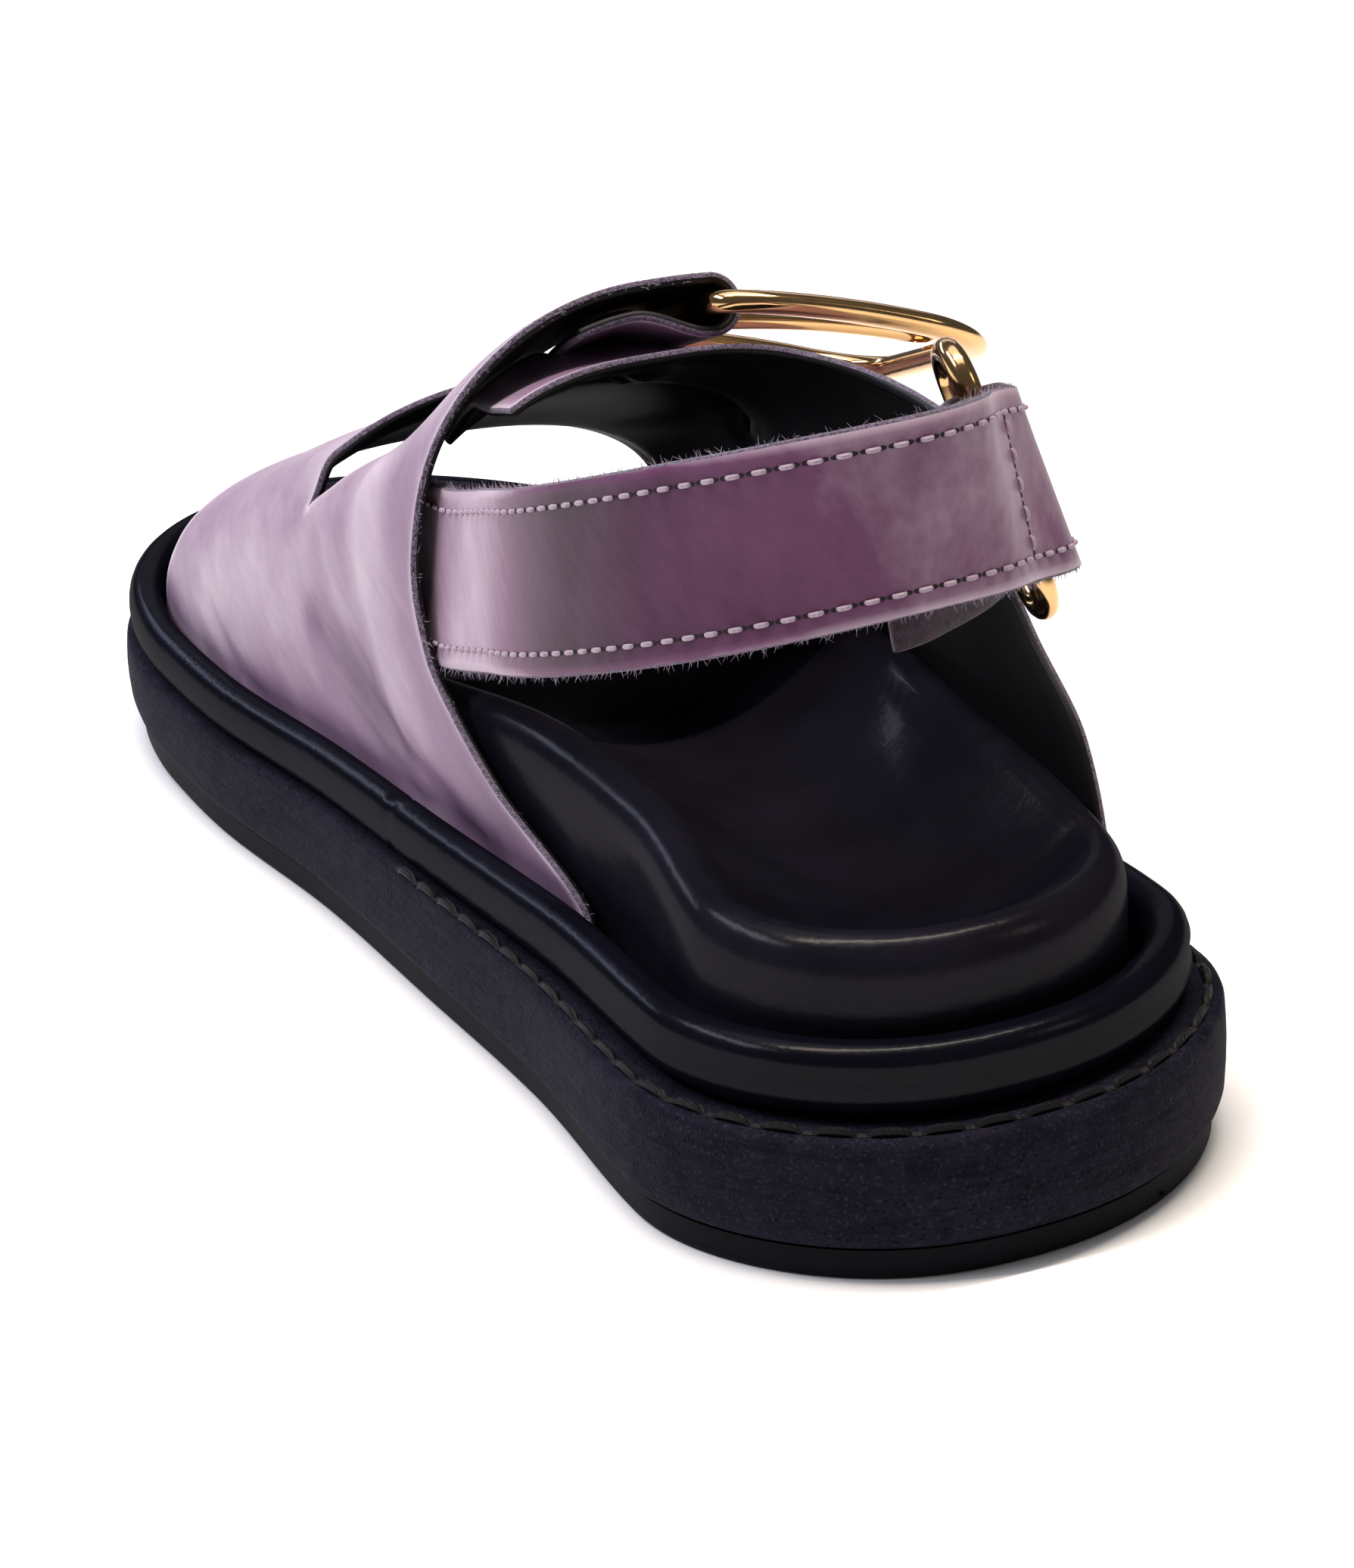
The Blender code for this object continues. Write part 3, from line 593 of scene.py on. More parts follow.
def stitch_row(form, line, outward, pitch, length, radius):
    """Thread stitches along a line on a surface, each dipping in at both ends, where a dark disc is the
    painted shadow of the awl's hole.
    """
    _, total = along_line(line, [0.0])
    count = int(total / pitch)
    t = np.linspace(-1, 1, 7)
    rise = radius * (0.75 - 1.25 * t ** 4)
    thick = radius * (1 - 0.35 * t ** 4)
    turn = np.linspace(0, 2 * pi, 7)[:-1]
    for k in range(count):
        middle = (k + 0.5) * total / count
        core, _ = along_line(line, middle + t * length / 2)
        share = middle / total * (len(outward) - 1)
        low = int(min(share, len(outward) - 2))
        up = outward[low] + (outward[low + 1] - outward[low]) * (share - low)
        up = up / np.linalg.norm(up)
        forward = unit_rows(core[-1] - core[0])
        side = np.cross(up, forward)
        core = core + up * rise[:, None]
        form.caps(form.loft([
            core[j] + thick[j] * (np.cos(turn)[:, None] * side + np.sin(turn)[:, None] * up)
            for j in range(len(t))
        ]))
        # A dark disc at each end of the stitch: painted shadow of the awl's hole
        for end in (-1, 1):
            spot, _ = along_line(line, [middle + end * (length / 2 + radius * 0.4)])
            disc = spot + up * 0.05 + radius * (
                np.cos(turn)[:, None] * side * 0.95 + np.sin(turn)[:, None] * forward * 1.7)
            form.face(form.add(disc), 1)


def ledge_stitches():
    """Row on the slab's ledge from the inner waist round the heel to the outer waist."""
    form = Form()
    y = EDGE[:, 1]
    plan = inset(smooth(RAND, 1, y) * LEDGE_SHARE)
    ring = at_height(plan, slab_top(plan[:, 1]) + 0.05)
    inner = np.where(INNER_SIDE & (y < LEDGE_STITCH_TO[0]))[0][::-1]
    outer = np.where(~INNER_SIDE & (y < LEDGE_STITCH_TO[1]))[0][::-1]
    line = ring[np.concatenate([inner, outer])]
    stitch_row(form, line, np.tile((0.0, 0.0, 1.0), (len(line), 1)), *LEDGE_STITCH)
    return form


# Material of the stitches' end discs: painted shadow
hole = hole_shadow_paint()
black_thread = waxed_thread("waxed_black_thread", "#0b0b0e")
add_piece("ledge_stitching", ledge_stitches(), [black_thread, hole], "black_leather")

# Footbed
# A moulded foam bed with a deep heel cup, wrapped in black calf that is drawn tight over its
# rolled rim. It is cemented inside the rand, with the upper's foot between them.
# Footbed: y, rim height at the inner side, at the outer side, floor height
FOOTBED = (
    (0, 39.5, 39.5, 33.0),
    (32, 40.5, 40.5, 30.5),
    (62, 43.5, 44.5, 30.0),
    (88, 44.5, 45.0, 30.0),
    (120, 40.0, 40.0, 29.0),
    (155, 32.5, 32.5, 26.0),
    (190, 28.5, 28.5, 24.0),
    (225, 27.0, 27.0, 23.4),
    (255, 27.5, 27.5, 25.0),
)
LEATHER = 2.4
# Rolled rim: step, distance in from the wall, drop below the rim's top
RIM = (
    (0, 0.0, 6.5), (1, 0.15, 4.6), (2, 0.7, 2.6), (3, 1.7, 1.1),
    (4, 3.0, 0.2), (5, 4.4, 0.0), (6, 5.7, 0.45), (7, 6.8, 1.2),
)
RIM_ROWS = 22
DISH_REACH = 27.0
DISH_POWER = 2.4
BED_COLUMNS = 33
# Where the upper stands between rand and footbed: y from and to, inner and outer side
PANEL_FOOT = ((66, 221), (38, 197))
# How its thickness fades past each end: reach past the end, length of the fade
COVER_REAR = (34, 32)
COVER_FRONT = (30, 28)


def panel_cover():
    """1 where the upper stands between rand and footbed, easing to 0 past its ends."""
    y = EDGE[:, 1]
    covers = [
        ease((y - low + COVER_REAR[0]) / COVER_REAR[1]) * ease((high + COVER_FRONT[0] - y) / COVER_FRONT[1])
        for low, high in PANEL_FOOT
    ]
    return np.where(INNER_SIDE, *covers)


def make_footbed():
    form = Form()
    y = EDGE[:, 1]
    wall = rand_inner(y) + GAP + (LEATHER + GAP) * panel_cover()
    rim = np.where(INNER_SIDE, smooth(FOOTBED, 1, y), smooth(FOOTBED, 2, y))
    rows = [at_height(inset(wall), slab_top(y) + GAP)]
    for step in np.linspace(0, RIM[-1][0], RIM_ROWS):
        rows.append(at_height(inset(wall + smooth(RIM, 1, step)), rim - smooth(RIM, 2, step)))
    ids = form.loft(rows)
    form.rungs(ids[0])
    inside = rows[-1]
    half = AROUND // 2
    across = np.linspace(0, 1, BED_COLUMNS + 1)[1:-1]
    ladder = [[ids[-1][0]]]
    for i in range(1, half):
        p = inside[i] + (inside[-i] - inside[i]) * across[:, None]
        near = np.sqrt(((p[:, None, :2] - inside[None, ::2, :2]) ** 2).sum(-1)).min(1)
        floor = smooth(FOOTBED, 3, p[:, 1])
        p[:, 2] = floor + (p[:, 2] - floor) * np.clip(1 - near / DISH_REACH, 0, 1) ** DISH_POWER
        ladder.append([ids[-1][i], *form.add(p), ids[-1][-i]])
    ladder.append([ids[-1][half]])
    for a, b in zip(ladder[1:], ladder[2:-1]):
        a, b = np.array(a), np.array(b)
        form.quads(a[:-1], a[1:], b[1:], b[:-1])
    for end, rung in ((ladder[0][0], ladder[1]), (ladder[-1][0], ladder[-2])):
        for a, b in zip(rung, rung[1:]):
            form.face((end, a, b))
    return form


# The rand's black calf with a lighter base: painted sheen standing for the reflection on the footbed's floor
bed_calf_painted_sheen = black_calf("footbed_black_calf_painted_sheen", "#100f16", "#191720")
footbed = add_piece("wrapped_footbed", make_footbed(), [bed_calf_painted_sheen], "black_leather", "footbed")

# Upper
# One shell of waxed lilac leather lined in black: the inner panel, the toe band, the instep strap
# that folds round the buckle's bar, and the outer panel whose strap runs below it.
# Its edges are cut raw, and it is lasted down between rand and footbed.
# Fullness of the foot's last: y, power of its rounding
SECTION_POWER = ((150, 3.1), (212, 2.6))
SECTION_BULGE = 2.8
# Height of the top of the foot's last: y, z
RIDGE = (
    (40, 96.0), (85, 92.0), (110, 85.0), (130, 77.5), (155, 67.0), (186, 56.0), (207, 47.5), (228, 41.0),
)
# Edges of the pieces of the upper: fraction over the foot from the inner base, y
INSTEP_REAR = (
    (0.0, 66), (0.03, 67), (0.085, 93), (0.13, 106), (0.16, 112),
    (0.235, 117.5), (0.29, 118.5), (0.45, 114), (0.55, 111),
)
INSTEP_FRONT = ((0.0, 160), (0.25, 160), (0.28, 154), (0.33, 149), (0.45, 145), (0.55, 143))
TOE_REAR = (
    (0.0, 160), (0.25, 160), (0.28, 157.5), (0.33, 154), (0.5, 151.5),
    (0.67, 152.5), (0.72, 155), (0.75, 157), (1.0, 157),
)
TOE_FRONT = (
    (0.0, 221), (0.06, 219), (0.15, 212), (0.25, 208.5), (0.4, 207),
    (0.6, 207), (0.75, 206), (0.87, 203), (1.0, 197),
)
UNDER_REAR = (
    (0.375, 109), (0.55, 108), (0.60, 104), (0.625, 96), (0.645, 78),
    (0.655, 69), (0.75, 67), (0.80, 59), (0.86, 46), (0.92, 41), (1.0, 38),
)
UNDER_FRONT = ((0.375, 146), (0.55, 146), (0.67, 148), (0.72, 152), (0.75, 157), (1.0, 157))
# Creases of the inner panel, bent by lasting and wear: depth, half-width, then points y, z
CREASES = (
    (0.7, 3.2, ((150, 40), (132, 34), (114, 28.5), (97, 25))),
    (0.45, 2.4, ((146, 33), (126, 27.5), (108, 23.5))),
    (-0.5, 3.6, ((141, 63), (132, 50), (124, 38), (117, 28))),
    (0.5, 2.6, ((152, 51), (143, 43), (133, 38))),
    (0.35, 2.2, ((196, 34), (184, 27), (170, 22.5))),
)
# Pale (above 0) and dark (below 0) bands on the inner panel and toe band: the pale ones are partly the wax
# parting where the hide is bent and partly painted sheen; the dark ones are painted shade: amount,
# half-width, then points y, z
PULL_AND_PAINTED_LIGHT = (
    (0.03, 12.0, ((205, 40), (188, 47), (172, 54))),
    (0.2, 12.0, ((160, 60), (150, 66), (136, 78))),
    (0.24, 6.0, ((140, 66), (130, 50), (121, 38), (112, 29))),
    # Dark rows: painted shade in the crease, at the lower rear of the panel, and along its foot between rand
    # and footbed
    (-0.30, 4.0, ((150, 41), (130, 34), (112, 29), (92, 25))),
    (-0.22, 6.0, ((100, 45), (90, 33), (78, 25), (68, 21))),
    (-0.35, 1.6, ((220, 18), (157, 18), (100, 19.5), (66, 20))),
    (0.2, 9.0, ((190, 32), (168, 40), (148, 44))),
)
STEP_S = 0.00625
STRAP_COLUMNS = 28
TOE_COLUMNS = 32
FOOT_CLEAR = 0.7
INSTEP_END = 0.55
UNDER_END = 0.375
UNDER_CLEAR = 0.8
# Under the instep strap the outer panel's strap is pressed up to it: fraction over the foot,
# depth of the layers above it, greatest rise
UNDER_RISE = (
    (0.375, 2.2, 5.0), (0.445, 2.2, 5.0), (0.46, 4.8, 4.5),
    (0.53, 4.8, 3.5), (0.55, 8.3, 0.5), (0.6, 8.3, 0.0),
)
LIFT = 9.8
LIFT_RANGE = (0.25, 0.50)
STRAIGHTEN_FROM = 0.42
# Hang of the instep strap's front edge: depth, fraction where it begins, lengths of its two eases
FRONT_HANG = (5.0, 0.27, 0.1, 0.12)
# The toe band's rear edge stands proud between these fractions
TOE_FLARE = 3.2
FLARE_RANGE = (0.25, 0.75)
FLARE_EASE = 0.05
BAR_RADIUS = 1.6
FOLD_CLEAR = 0.35
FOLD_RADIUS = BAR_RADIUS + FOLD_CLEAR + LEATHER
FOLD_ROWS = 16
FOLD_PINCH = 9.0
FOLD_SPACE = 0.4
EDGE_BULGE = 0.3
# Wax worn off along the cut edges: amount, half-width
EDGE_WEAR = (0.4, 0.9)
# Loose fibres: least and greatest length, half-thickness
FIBRES = (0.5, 1.5, 0.06)
PANEL_FIBRES = 320
PANEL_SEED = 11
SKIVED = 1.4
SKIVE_WIDTH = 7.0


def edge_curve(table, at):
    """Smooth curve through a table that keeps level stretches level."""
    rows = np.array(table, float)
    knots, values = rows[:, 0], rows[:, 1]
    steps = np.diff(values) / np.diff(knots)
    slopes = np.concatenate([steps[:1], np.zeros(len(knots) - 2), steps[-1:]])
    same = steps[:-1] * steps[1:] > 0
    slopes[1:-1][same] = (2 * steps[:-1] * steps[1:] / (steps[:-1] + steps[1:] + 1e-12))[same]
    return hermite(knots, values, slopes, at)


FOOT_LINE = inset(rand_inner(EDGE[:, 1]) + GAP)
FOOT_SIDES = [FOOT_LINE[side][np.argsort(FOOT_LINE[side][:, 1])] for side in (INNER_SIDE, ~INNER_SIDE)]
TURNS = np.linspace(0, pi, 721).clip(0, pi - 1e-12)
TURN_BULGE = SECTION_BULGE * np.sin(2 * TURNS) ** 2 * np.sign(np.cos(TURNS))


def on_last(s, y):
    """Point on the outside of the last at fraction s over the foot and station y."""
    inner, outer = (np.interp(y, side[:, 1], side[:, 0]) for side in FOOT_SIDES)
    low = float(slab_top(y)) + FOOT_CLEAR
    power = 2 / np.interp(y, *np.array(SECTION_POWER).T)
    across = np.sign(np.cos(TURNS)) * np.abs(np.cos(TURNS)) ** power
    x = (inner + outer) / 2 - (outer - inner) / 2 * across - TURN_BULGE
    z = low + (float(smooth(RIDGE, 1, y)) - low) * np.sin(TURNS) ** power
    run = np.concatenate([[0], np.cumsum(np.hypot(np.diff(x), np.diff(z)))])
    return np.array((np.interp(s * run[-1], run, x), y, np.interp(s * run[-1], run, z)))


def grid_normals(grid):
    along = np.gradient(grid, axis=0)
    across = np.gradient(grid, axis=1)
    return unit_rows(np.cross(along, across))


def strip(rear, front, fractions, columns):
    """Grid of points on the last between two edges, with its fractions and stations."""
    stations = np.linspace(edge_curve(rear, fractions), edge_curve(front, fractions), columns + 1, axis=1)
    grid = np.array([[on_last(s, y) for y in row] for s, row in zip(fractions, stations)])
    return grid, stations


def instep_rise(fractions, share):
    """Height of the instep strap over the last, its front edge hanging lower than its rear edge."""
    lift = LIFT * ease((fractions - LIFT_RANGE[0]) / (LIFT_RANGE[1] - LIFT_RANGE[0]))
    depth, begins, first, last = FRONT_HANG
    hang = depth * ease((fractions - begins) / first) * ease((INSTEP_END - fractions) / last)
    return lift[:, None] - hang[:, None] * share ** 1.5


def instep_grid():
    """Instep strap from the inner base to its fold, with directions along it, along the bar and out."""
    fractions = np.arange(0, INSTEP_END + 1e-6, STEP_S)
    grid, _ = strip(INSTEP_REAR, INSTEP_FRONT, fractions, STRAP_COLUMNS)
    share = np.linspace(0, 1, grid.shape[1])[None, :, None]
    grid = grid + grid_normals(grid) * instep_rise(fractions, share[..., 0])[..., None]
    straight = grid[:, :1] * (1 - share) + grid[:, -1:] * share
    pull = ease((fractions - STRAIGHTEN_FROM) / (INSTEP_END - STRAIGHTEN_FROM))
    grid = grid + (straight - grid) * pull[:, None, None]
    bar = unit_rows(grid[-1][-1] - grid[-1][0])
    along = grid[-1].mean(0) - grid[-5].mean(0)
    along = unit_rows(along - bar * along.dot(bar))
    return grid, along, bar, np.cross(along, bar)


def fold_grid(strap, along, out):
    """Rows that turn back under the strap round the bar, then lie close below it where they are sewn."""
    centre = strap[-1] - out * FOLD_RADIUS
    turn = [centre + FOLD_RADIUS * (sin(t) * along + cos(t) * out) for t in np.linspace(0, pi, 21)[1:]]
    count = np.arange(1, FOLD_ROWS + 1)
    depth = 2 * FOLD_RADIUS + (2 * LEATHER + FOLD_SPACE - 2 * FOLD_RADIUS) * ease(count / FOLD_PINCH)
    back = strap[-1 - count] - grid_normals(strap)[-1 - count] * depth[:, None, None]
    return np.concatenate([turn, back])


def thick_sheet(grids, thickness):
    """Closed wall from welded grids of outside points: outside, lining and rounded cut edge."""
    points = np.concatenate([g.reshape(-1, 3) for g in grids])
    first, number = merged(points, 3)
    quads = []
    start = 0
    for g in grids:
        rows, columns = g.shape[:2]
        ids = number[start:start + rows * columns].reshape(rows, columns)
        start += rows * columns
        quads.append(np.stack([ids[:-1, :-1], ids[1:, :-1], ids[1:, 1:], ids[:-1, 1:]], -1).reshape(-1, 4))
    quads = np.concatenate(quads)
    points = points[first]
    a, b, c, d = (points[quads[:, k]] for k in range(4))
    faces_out = np.cross(c - a, d - b)
    normals = np.zeros_like(points)
    for k in range(4):
        np.add.at(normals, quads[:, k], faces_out)
    normals = unit_rows(normals)
    edges = {}
    for quad in quads.tolist():
        for p, q in zip(quad, quad[1:] + quad[:1]):
            edges[(p, q)] = True
    rim = [(p, q) for p, q in edges if (q, p) not in edges]
    edge_ids = sorted({p for pair in rim for p in pair})
    to_edge = np.zeros(len(points))
    for start in range(0, len(points), 2000):
        block = points[start:start + 2000]
        to_edge[start:start + 2000] = np.sqrt(((block[:, None] - points[edge_ids]) ** 2).sum(-1)).min(1)
    wall = SKIVED + (thickness - SKIVED) * ease(to_edge / SKIVE_WIDTH)
    form = Form()
    outside = form.add(points)
    inside = form.add(points - normals * wall[:, None])
    form.quads(*quads.T)
    form.quads(*(quads[:, ::-1] + len(points)).T, slot=1)
    outward = np.zeros_like(points)
    for p, q in rim:
        side = np.cross(points[q] - points[p], normals[p] + normals[q])
        outward[p] += side
        outward[q] += side
    outward[edge_ids] = unit_rows(outward[edge_ids])
    levels = (0.16, 0.5, 0.84)
    between = {}
    for level in levels:
        moved = points - normals * SKIVED * level + outward * EDGE_BULGE * sin(pi * level) ** 0.5
        added = form.add(moved[edge_ids])
        between[level] = dict(zip(edge_ids, added))
    ladder = [dict(zip(edge_ids, outside[edge_ids]))] + [between[v] for v in levels]
    ladder.append(dict(zip(edge_ids, inside[edge_ids])))
    for upper_row, lower_row, slot in zip(ladder, ladder[1:], (2, 2, 1, 1)):
        for p, q in rim:
            form.face((upper_row[q], upper_row[p], lower_row[p], lower_row[q]), slot)
    form.outer = points
    form.to_edge = to_edge
    return form


def waxed_lilac(name, dark, middle, pale):
    """Waxed pull-up leather, paler where the stored pull is above 0 and darker below it; that pull holds the
    wax parting where the hide is bent, edge wear, painted sheen and painted shade; a tight grain, drawn
    coarser than life, under a soft polish."""
    material, tree, shader, where = start_material(name)

    def drawn(length, lean):
        """Coordinates that stretch a pattern down the panel at a lean."""
        sockets = {"Vector": where, "Scale": (1.0, 1.0, length), "Rotation": (radians(lean), 0.0, 0.0)}
        return put(tree, "Mapping", sockets, vector_type="TEXTURE").outputs["Vector"]

    cloud = noise(tree, where, 26, 4.0, 0.55)
    streak = noise(tree, drawn(2.5, -50), 11, 5.0, 0.6, 0.6)
    scratch = noise(tree, drawn(9.0, -63), 1.5, 3.0)
    both = put(tree, "Math", {0: cloud, 1: streak}, operation="ADD").outputs["Value"]
    clouded = stretch(tree, both, (-0.3, 2.3), (-0.06, 0.94))
    wax = put(tree, "Math", {0: scratch, 1: 0.12, 2: clouded}, operation="MULTIPLY_ADD").outputs["Value"]
    # Stored pull: real pull-up and edge wear, with painted sheen and painted shade
    pull = put(tree, "Attribute", attribute_name="pull").outputs["Fac"]
    shifted = put(tree, "Math", {0: wax, 1: pull}, operation="ADD").outputs["Value"]
    pores = put(tree, "TexVoronoi", {"Vector": where, "Scale": per(0.7)}, feature="SMOOTH_F1")
    hide = noise(tree, where, 3.0, 6.0, 0.6)
    set_sockets(tree, shader, {
        "Base Color": ramp(tree, shifted, (0.05, dark), (0.95, pale), (0.5, middle)),
        "Roughness": stretch(tree, streak, target=(0.3, 0.44)),
        "IOR": 1.48,
        "Specular IOR Level": 0.13,
        "Coat Weight": 0.05,
        "Coat Roughness": 0.22,
        "Normal": bumped(tree, hide, 0.12, 0.3, bumped(tree, pores.outputs["Distance"], 0.10, 0.1)),
    })
    return material


def black_lining():
    """Thin black lining leather, unpolished."""
    material, tree, shader, where = start_material("black_lining")
    set_sockets(tree, shader, {
        "Base Color": hex_linear("#0b0a0d"),
        "Roughness": 0.5,
        "IOR": 1.35,
        "Normal": bumped(tree, noise(tree, where, 0.9, 4.0), 0.25, 0.12),
    })
    return material


def napped(name, size_mm, detail, first, last, sheen, strength, depth_mm):
    """Dull leather fibres, pale over dark, with a faint sheen."""
    material, tree, shader, where = start_material(name)
    nap = noise(tree, where, size_mm, detail, 0.7)
    set_sockets(tree, shader, {
        "Base Color": ramp(tree, nap, first, last),
        "Roughness": 0.9,
        "Sheen Weight": sheen,
        "Normal": bumped(tree, nap, strength, depth_mm),
    })
    return material


def raw_edge():
    """Cut edge of dyed leather: bare fibres, bluish lilac over black lining, dull and fuzzy."""
    return napped("raw_leather_edge", 0.45, 4.0, (0.36, "#1d1523"), (0.66, "#786a84"), 0.3, 0.9, 0.35)


def store_pull_and_light(piece, values):
    """Store how far the leather is pale (above 0) or dark (below 0): pull-up and edge wear, with painted
    sheen and painted shade.
    """
    mark = piece.data.attributes.new("pull", "FLOAT", "POINT")
    full = np.zeros(len(piece.data.vertices), np.float32)
    full[:len(values)] = values
    mark.data.foreach_set("value", full)


def from_line(points, line):
    """Distance in side view of each point from a line of (y, z) points on the inner side."""
    line = np.array(line, float)
    start, step = line[:-1], np.diff(line, axis=0)
    gap = points[:, None, 1:] - start
    share = np.clip((gap * step).sum(-1) / (step ** 2).sum(-1), 0, 1)
    near = np.sqrt(((gap - share[..., None] * step) ** 2).sum(-1)).min(1)
    return np.where(points[:, 0] < 0, near, 99.0)


def crease(grid):
    """Press soft troughs with a low ridge on either side into a grid of the upper."""
    flat = grid.reshape(-1, 3)
    press = np.zeros(len(flat))
    for depth, half, line in CREASES:
        t = from_line(flat, line) / half
        press += depth * ((1 - 0.8 * t * t) * np.exp(-t * t))
    return grid - grid_normals(grid) * press.reshape(grid.shape[:2])[..., None]


# Bands of the table above: pull-up with painted sheen, and painted shade
def upper_pull_and_light(points):
    return sum(amount * np.exp(-(from_line(points, line) / half) ** 2) for amount, half, line in PULL_AND_PAINTED_LIGHT)


def under_grid():
    """Outer panel and its strap, which stays just below the instep strap's lining."""
    fractions = np.arange(UNDER_END, 1 + 1e-6, STEP_S)
    grid, stations = strip(UNDER_REAR, UNDER_FRONT, fractions, STRAP_COLUMNS)
    rear, front = (edge_curve(table, fractions)[:, None] for table in (INSTEP_REAR, INSTEP_FRONT))
    share = ((stations - rear) / (front - rear)).clip(0, 1)
    at, layers, rises = np.array(UNDER_RISE).T
    room = instep_rise(fractions, share) - np.interp(fractions, at, layers)[:, None] - UNDER_CLEAR
    most = np.interp(fractions, at, rises)[:, None] * ease(share * 1.4)
    covered = fractions[:, None] < INSTEP_END
    return grid + grid_normals(grid) * np.where(covered, np.minimum(most, room), 0)[..., None]


def make_upper():
    instep, along, _, out = instep_grid()
    fold = fold_grid(instep, along, out)
    under = under_grid()
    toe_s = np.arange(0, 1 + 1e-6, STEP_S)
    toe, _ = strip(TOE_REAR, TOE_FRONT, toe_s, TOE_COLUMNS)
    flare = TOE_FLARE * ease((toe_s - FLARE_RANGE[0]) / FLARE_EASE)
    flare = flare * ease((FLARE_RANGE[1] - toe_s) / FLARE_EASE)
    toe = toe + grid_normals(toe) * (flare[:, None] * np.linspace(1, 0, TOE_COLUMNS + 1) ** 2)[..., None]
    return thick_sheet([np.concatenate([crease(instep), fold]), under, crease(toe)], LEATHER)


lilac = waxed_lilac("waxed_lilac_leather", "#4a354d", "#836a83", "#bfb1bd")
lining = black_lining()
cut_edge = raw_edge()
upper_form = make_upper()
upper = add_piece("strap_upper", upper_form, [lilac, lining, cut_edge], "lilac_leather", "upper")


def edge_pull(form):
    """Wax worn off along the cut edges."""
    amount, half = EDGE_WEAR
    return amount * np.exp(-(form.to_edge / half) ** 2)


# Edge wear, pull-up, painted sheen and painted shade, stored on the upper
store_pull_and_light(upper, edge_pull(upper_form) + upper_pull_and_light(upper_form.outer))


def edge_fibres(form, chance, edge, away, out, count):
    """Loose fibres standing from a cut edge, thicker than life so that they show."""
    turn = np.linspace(0, 2 * pi, 4)[:-1]
    for at in chance.integers(0, len(edge) - 1, count):
        step = edge[at + 1] - edge[at]
        along = unit_rows(step)
        root = edge[at] + step * chance.uniform() + out[at] * chance.uniform(-0.5, 0.6)
        lean = unit_rows(away[at] + along * chance.normal(0, 0.7) + out[at] * chance.normal(0.1, 0.35))
        length = chance.uniform(*FIBRES[:2])
        bend = along * chance.normal(0, 0.25) * length
        across = unit_rows(np.cross(lean, along + 0.01))
        around = np.cos(turn)[:, None] * across + np.sin(turn)[:, None] * np.cross(lean, across)
        form.caps(form.loft([
            root + lean * length * s + bend * s * s + around * FIBRES[2] * (1 - 0.8 * s)
            for s in (-0.2, 0.4, 1.0)
        ]))


def loose_fibre():
    """Loose collagen fibre at a cut edge: pale lilac, dull."""
    material, tree, shader, _ = start_material("loose_leather_fibre")
    set_sockets(tree, shader, {"Base Color": hex_linear("#9c8ea0"), "Roughness": 0.9})
    return material


def panel_fibres():
    """Fibres along the rear edge of the inner panel and the instep strap."""
    form = Form()
    grid = crease(instep_grid()[0])
    out = grid_normals(grid)[:, 0]
    away = unit_rows(grid[:, 0] - grid[:, 1])
    edge_fibres(form, np.random.default_rng(PANEL_SEED), grid[:, 0] - out * 0.6, away, out, PANEL_FIBRES)
    return form


fibre = loose_fibre()
add_piece("upper_fibres", panel_fibres(), [fibre], "lilac_leather")

# Ring
# An oval ring of polished gilt metal, cast and plated, held at the rear of the outer panel.
# The heel strap is threaded through it and folded back.
RING_AT = (0.695, 69.0)
RING_REACH = 8.0
RING_RISE = 0.24
RING_TURN_IN = 0.15
RING_DEPTH = 10.0
RING_HEIGHT = 35.0
RING_WIRE = 1.7


def outer_panel_frame():
    """Middle of the outer panel's wall at its rear edge, with backward, upward and outward."""
    s, y = RING_AT
    point = on_last(s, y)
    along = unit_rows(on_last(s + 0.006, y) - on_last(s - 0.006, y))
    toward_toe = unit_rows(on_last(s, y + 1.0) - on_last(s, y - 1.0))
    up = unit_rows(-along + toward_toe * along.dot(toward_toe))
    out = unit_rows(np.cross(along, toward_toe))
    back = unit_rows(up * RING_RISE - toward_toe - out * RING_TURN_IN)
    up = unit_rows(up - back * up.dot(back))
    out = unit_rows(np.cross(up, back))
    return point - out * LEATHER / 2, back, up, out


PANEL_MIDDLE, RING_BACK, RING_UP, RING_OUT = outer_panel_frame()
RING_FRONT = PANEL_MIDDLE + RING_BACK * RING_REACH
RING_REAR = RING_FRONT + RING_BACK * RING_DEPTH


def rounded_loop(length, span, corner, steps):
    """Rounded rectangle from u = 0 to length, v = -span/2 to span/2, with outward directions."""
    loop = []
    for u, v, start in (
        (length - corner, span / 2 - corner, 0), (corner, span / 2 - corner, 90),
        (corner, -span / 2 + corner, 180), (length - corner, -span / 2 + corner, 270),
    ):
        for k in range(steps + 1):
            turn = radians(start + 90 * k / steps)
            loop.append((u + corner * cos(turn), v + corner * sin(turn), cos(turn), sin(turn)))
    return loop


def sweep(form, path, across, binormal, sizes, closed, sides=16):
    """Ellipse of the given half-sizes carried along a path."""
    turn = np.linspace(0, 2 * pi, sides + 1)[:-1]
    rows = [
        p + a * w * np.cos(turn)[:, None] + b * h * np.sin(turn)[:, None]
        for p, a, b, (w, h) in zip(path, across, binormal, sizes)
    ]
    ids = form.loft(rows)
    if closed:
        form.quads(ids[-1], np.roll(ids[-1], -1), np.roll(ids[0], -1), ids[0])
    else:
        form.caps(ids)


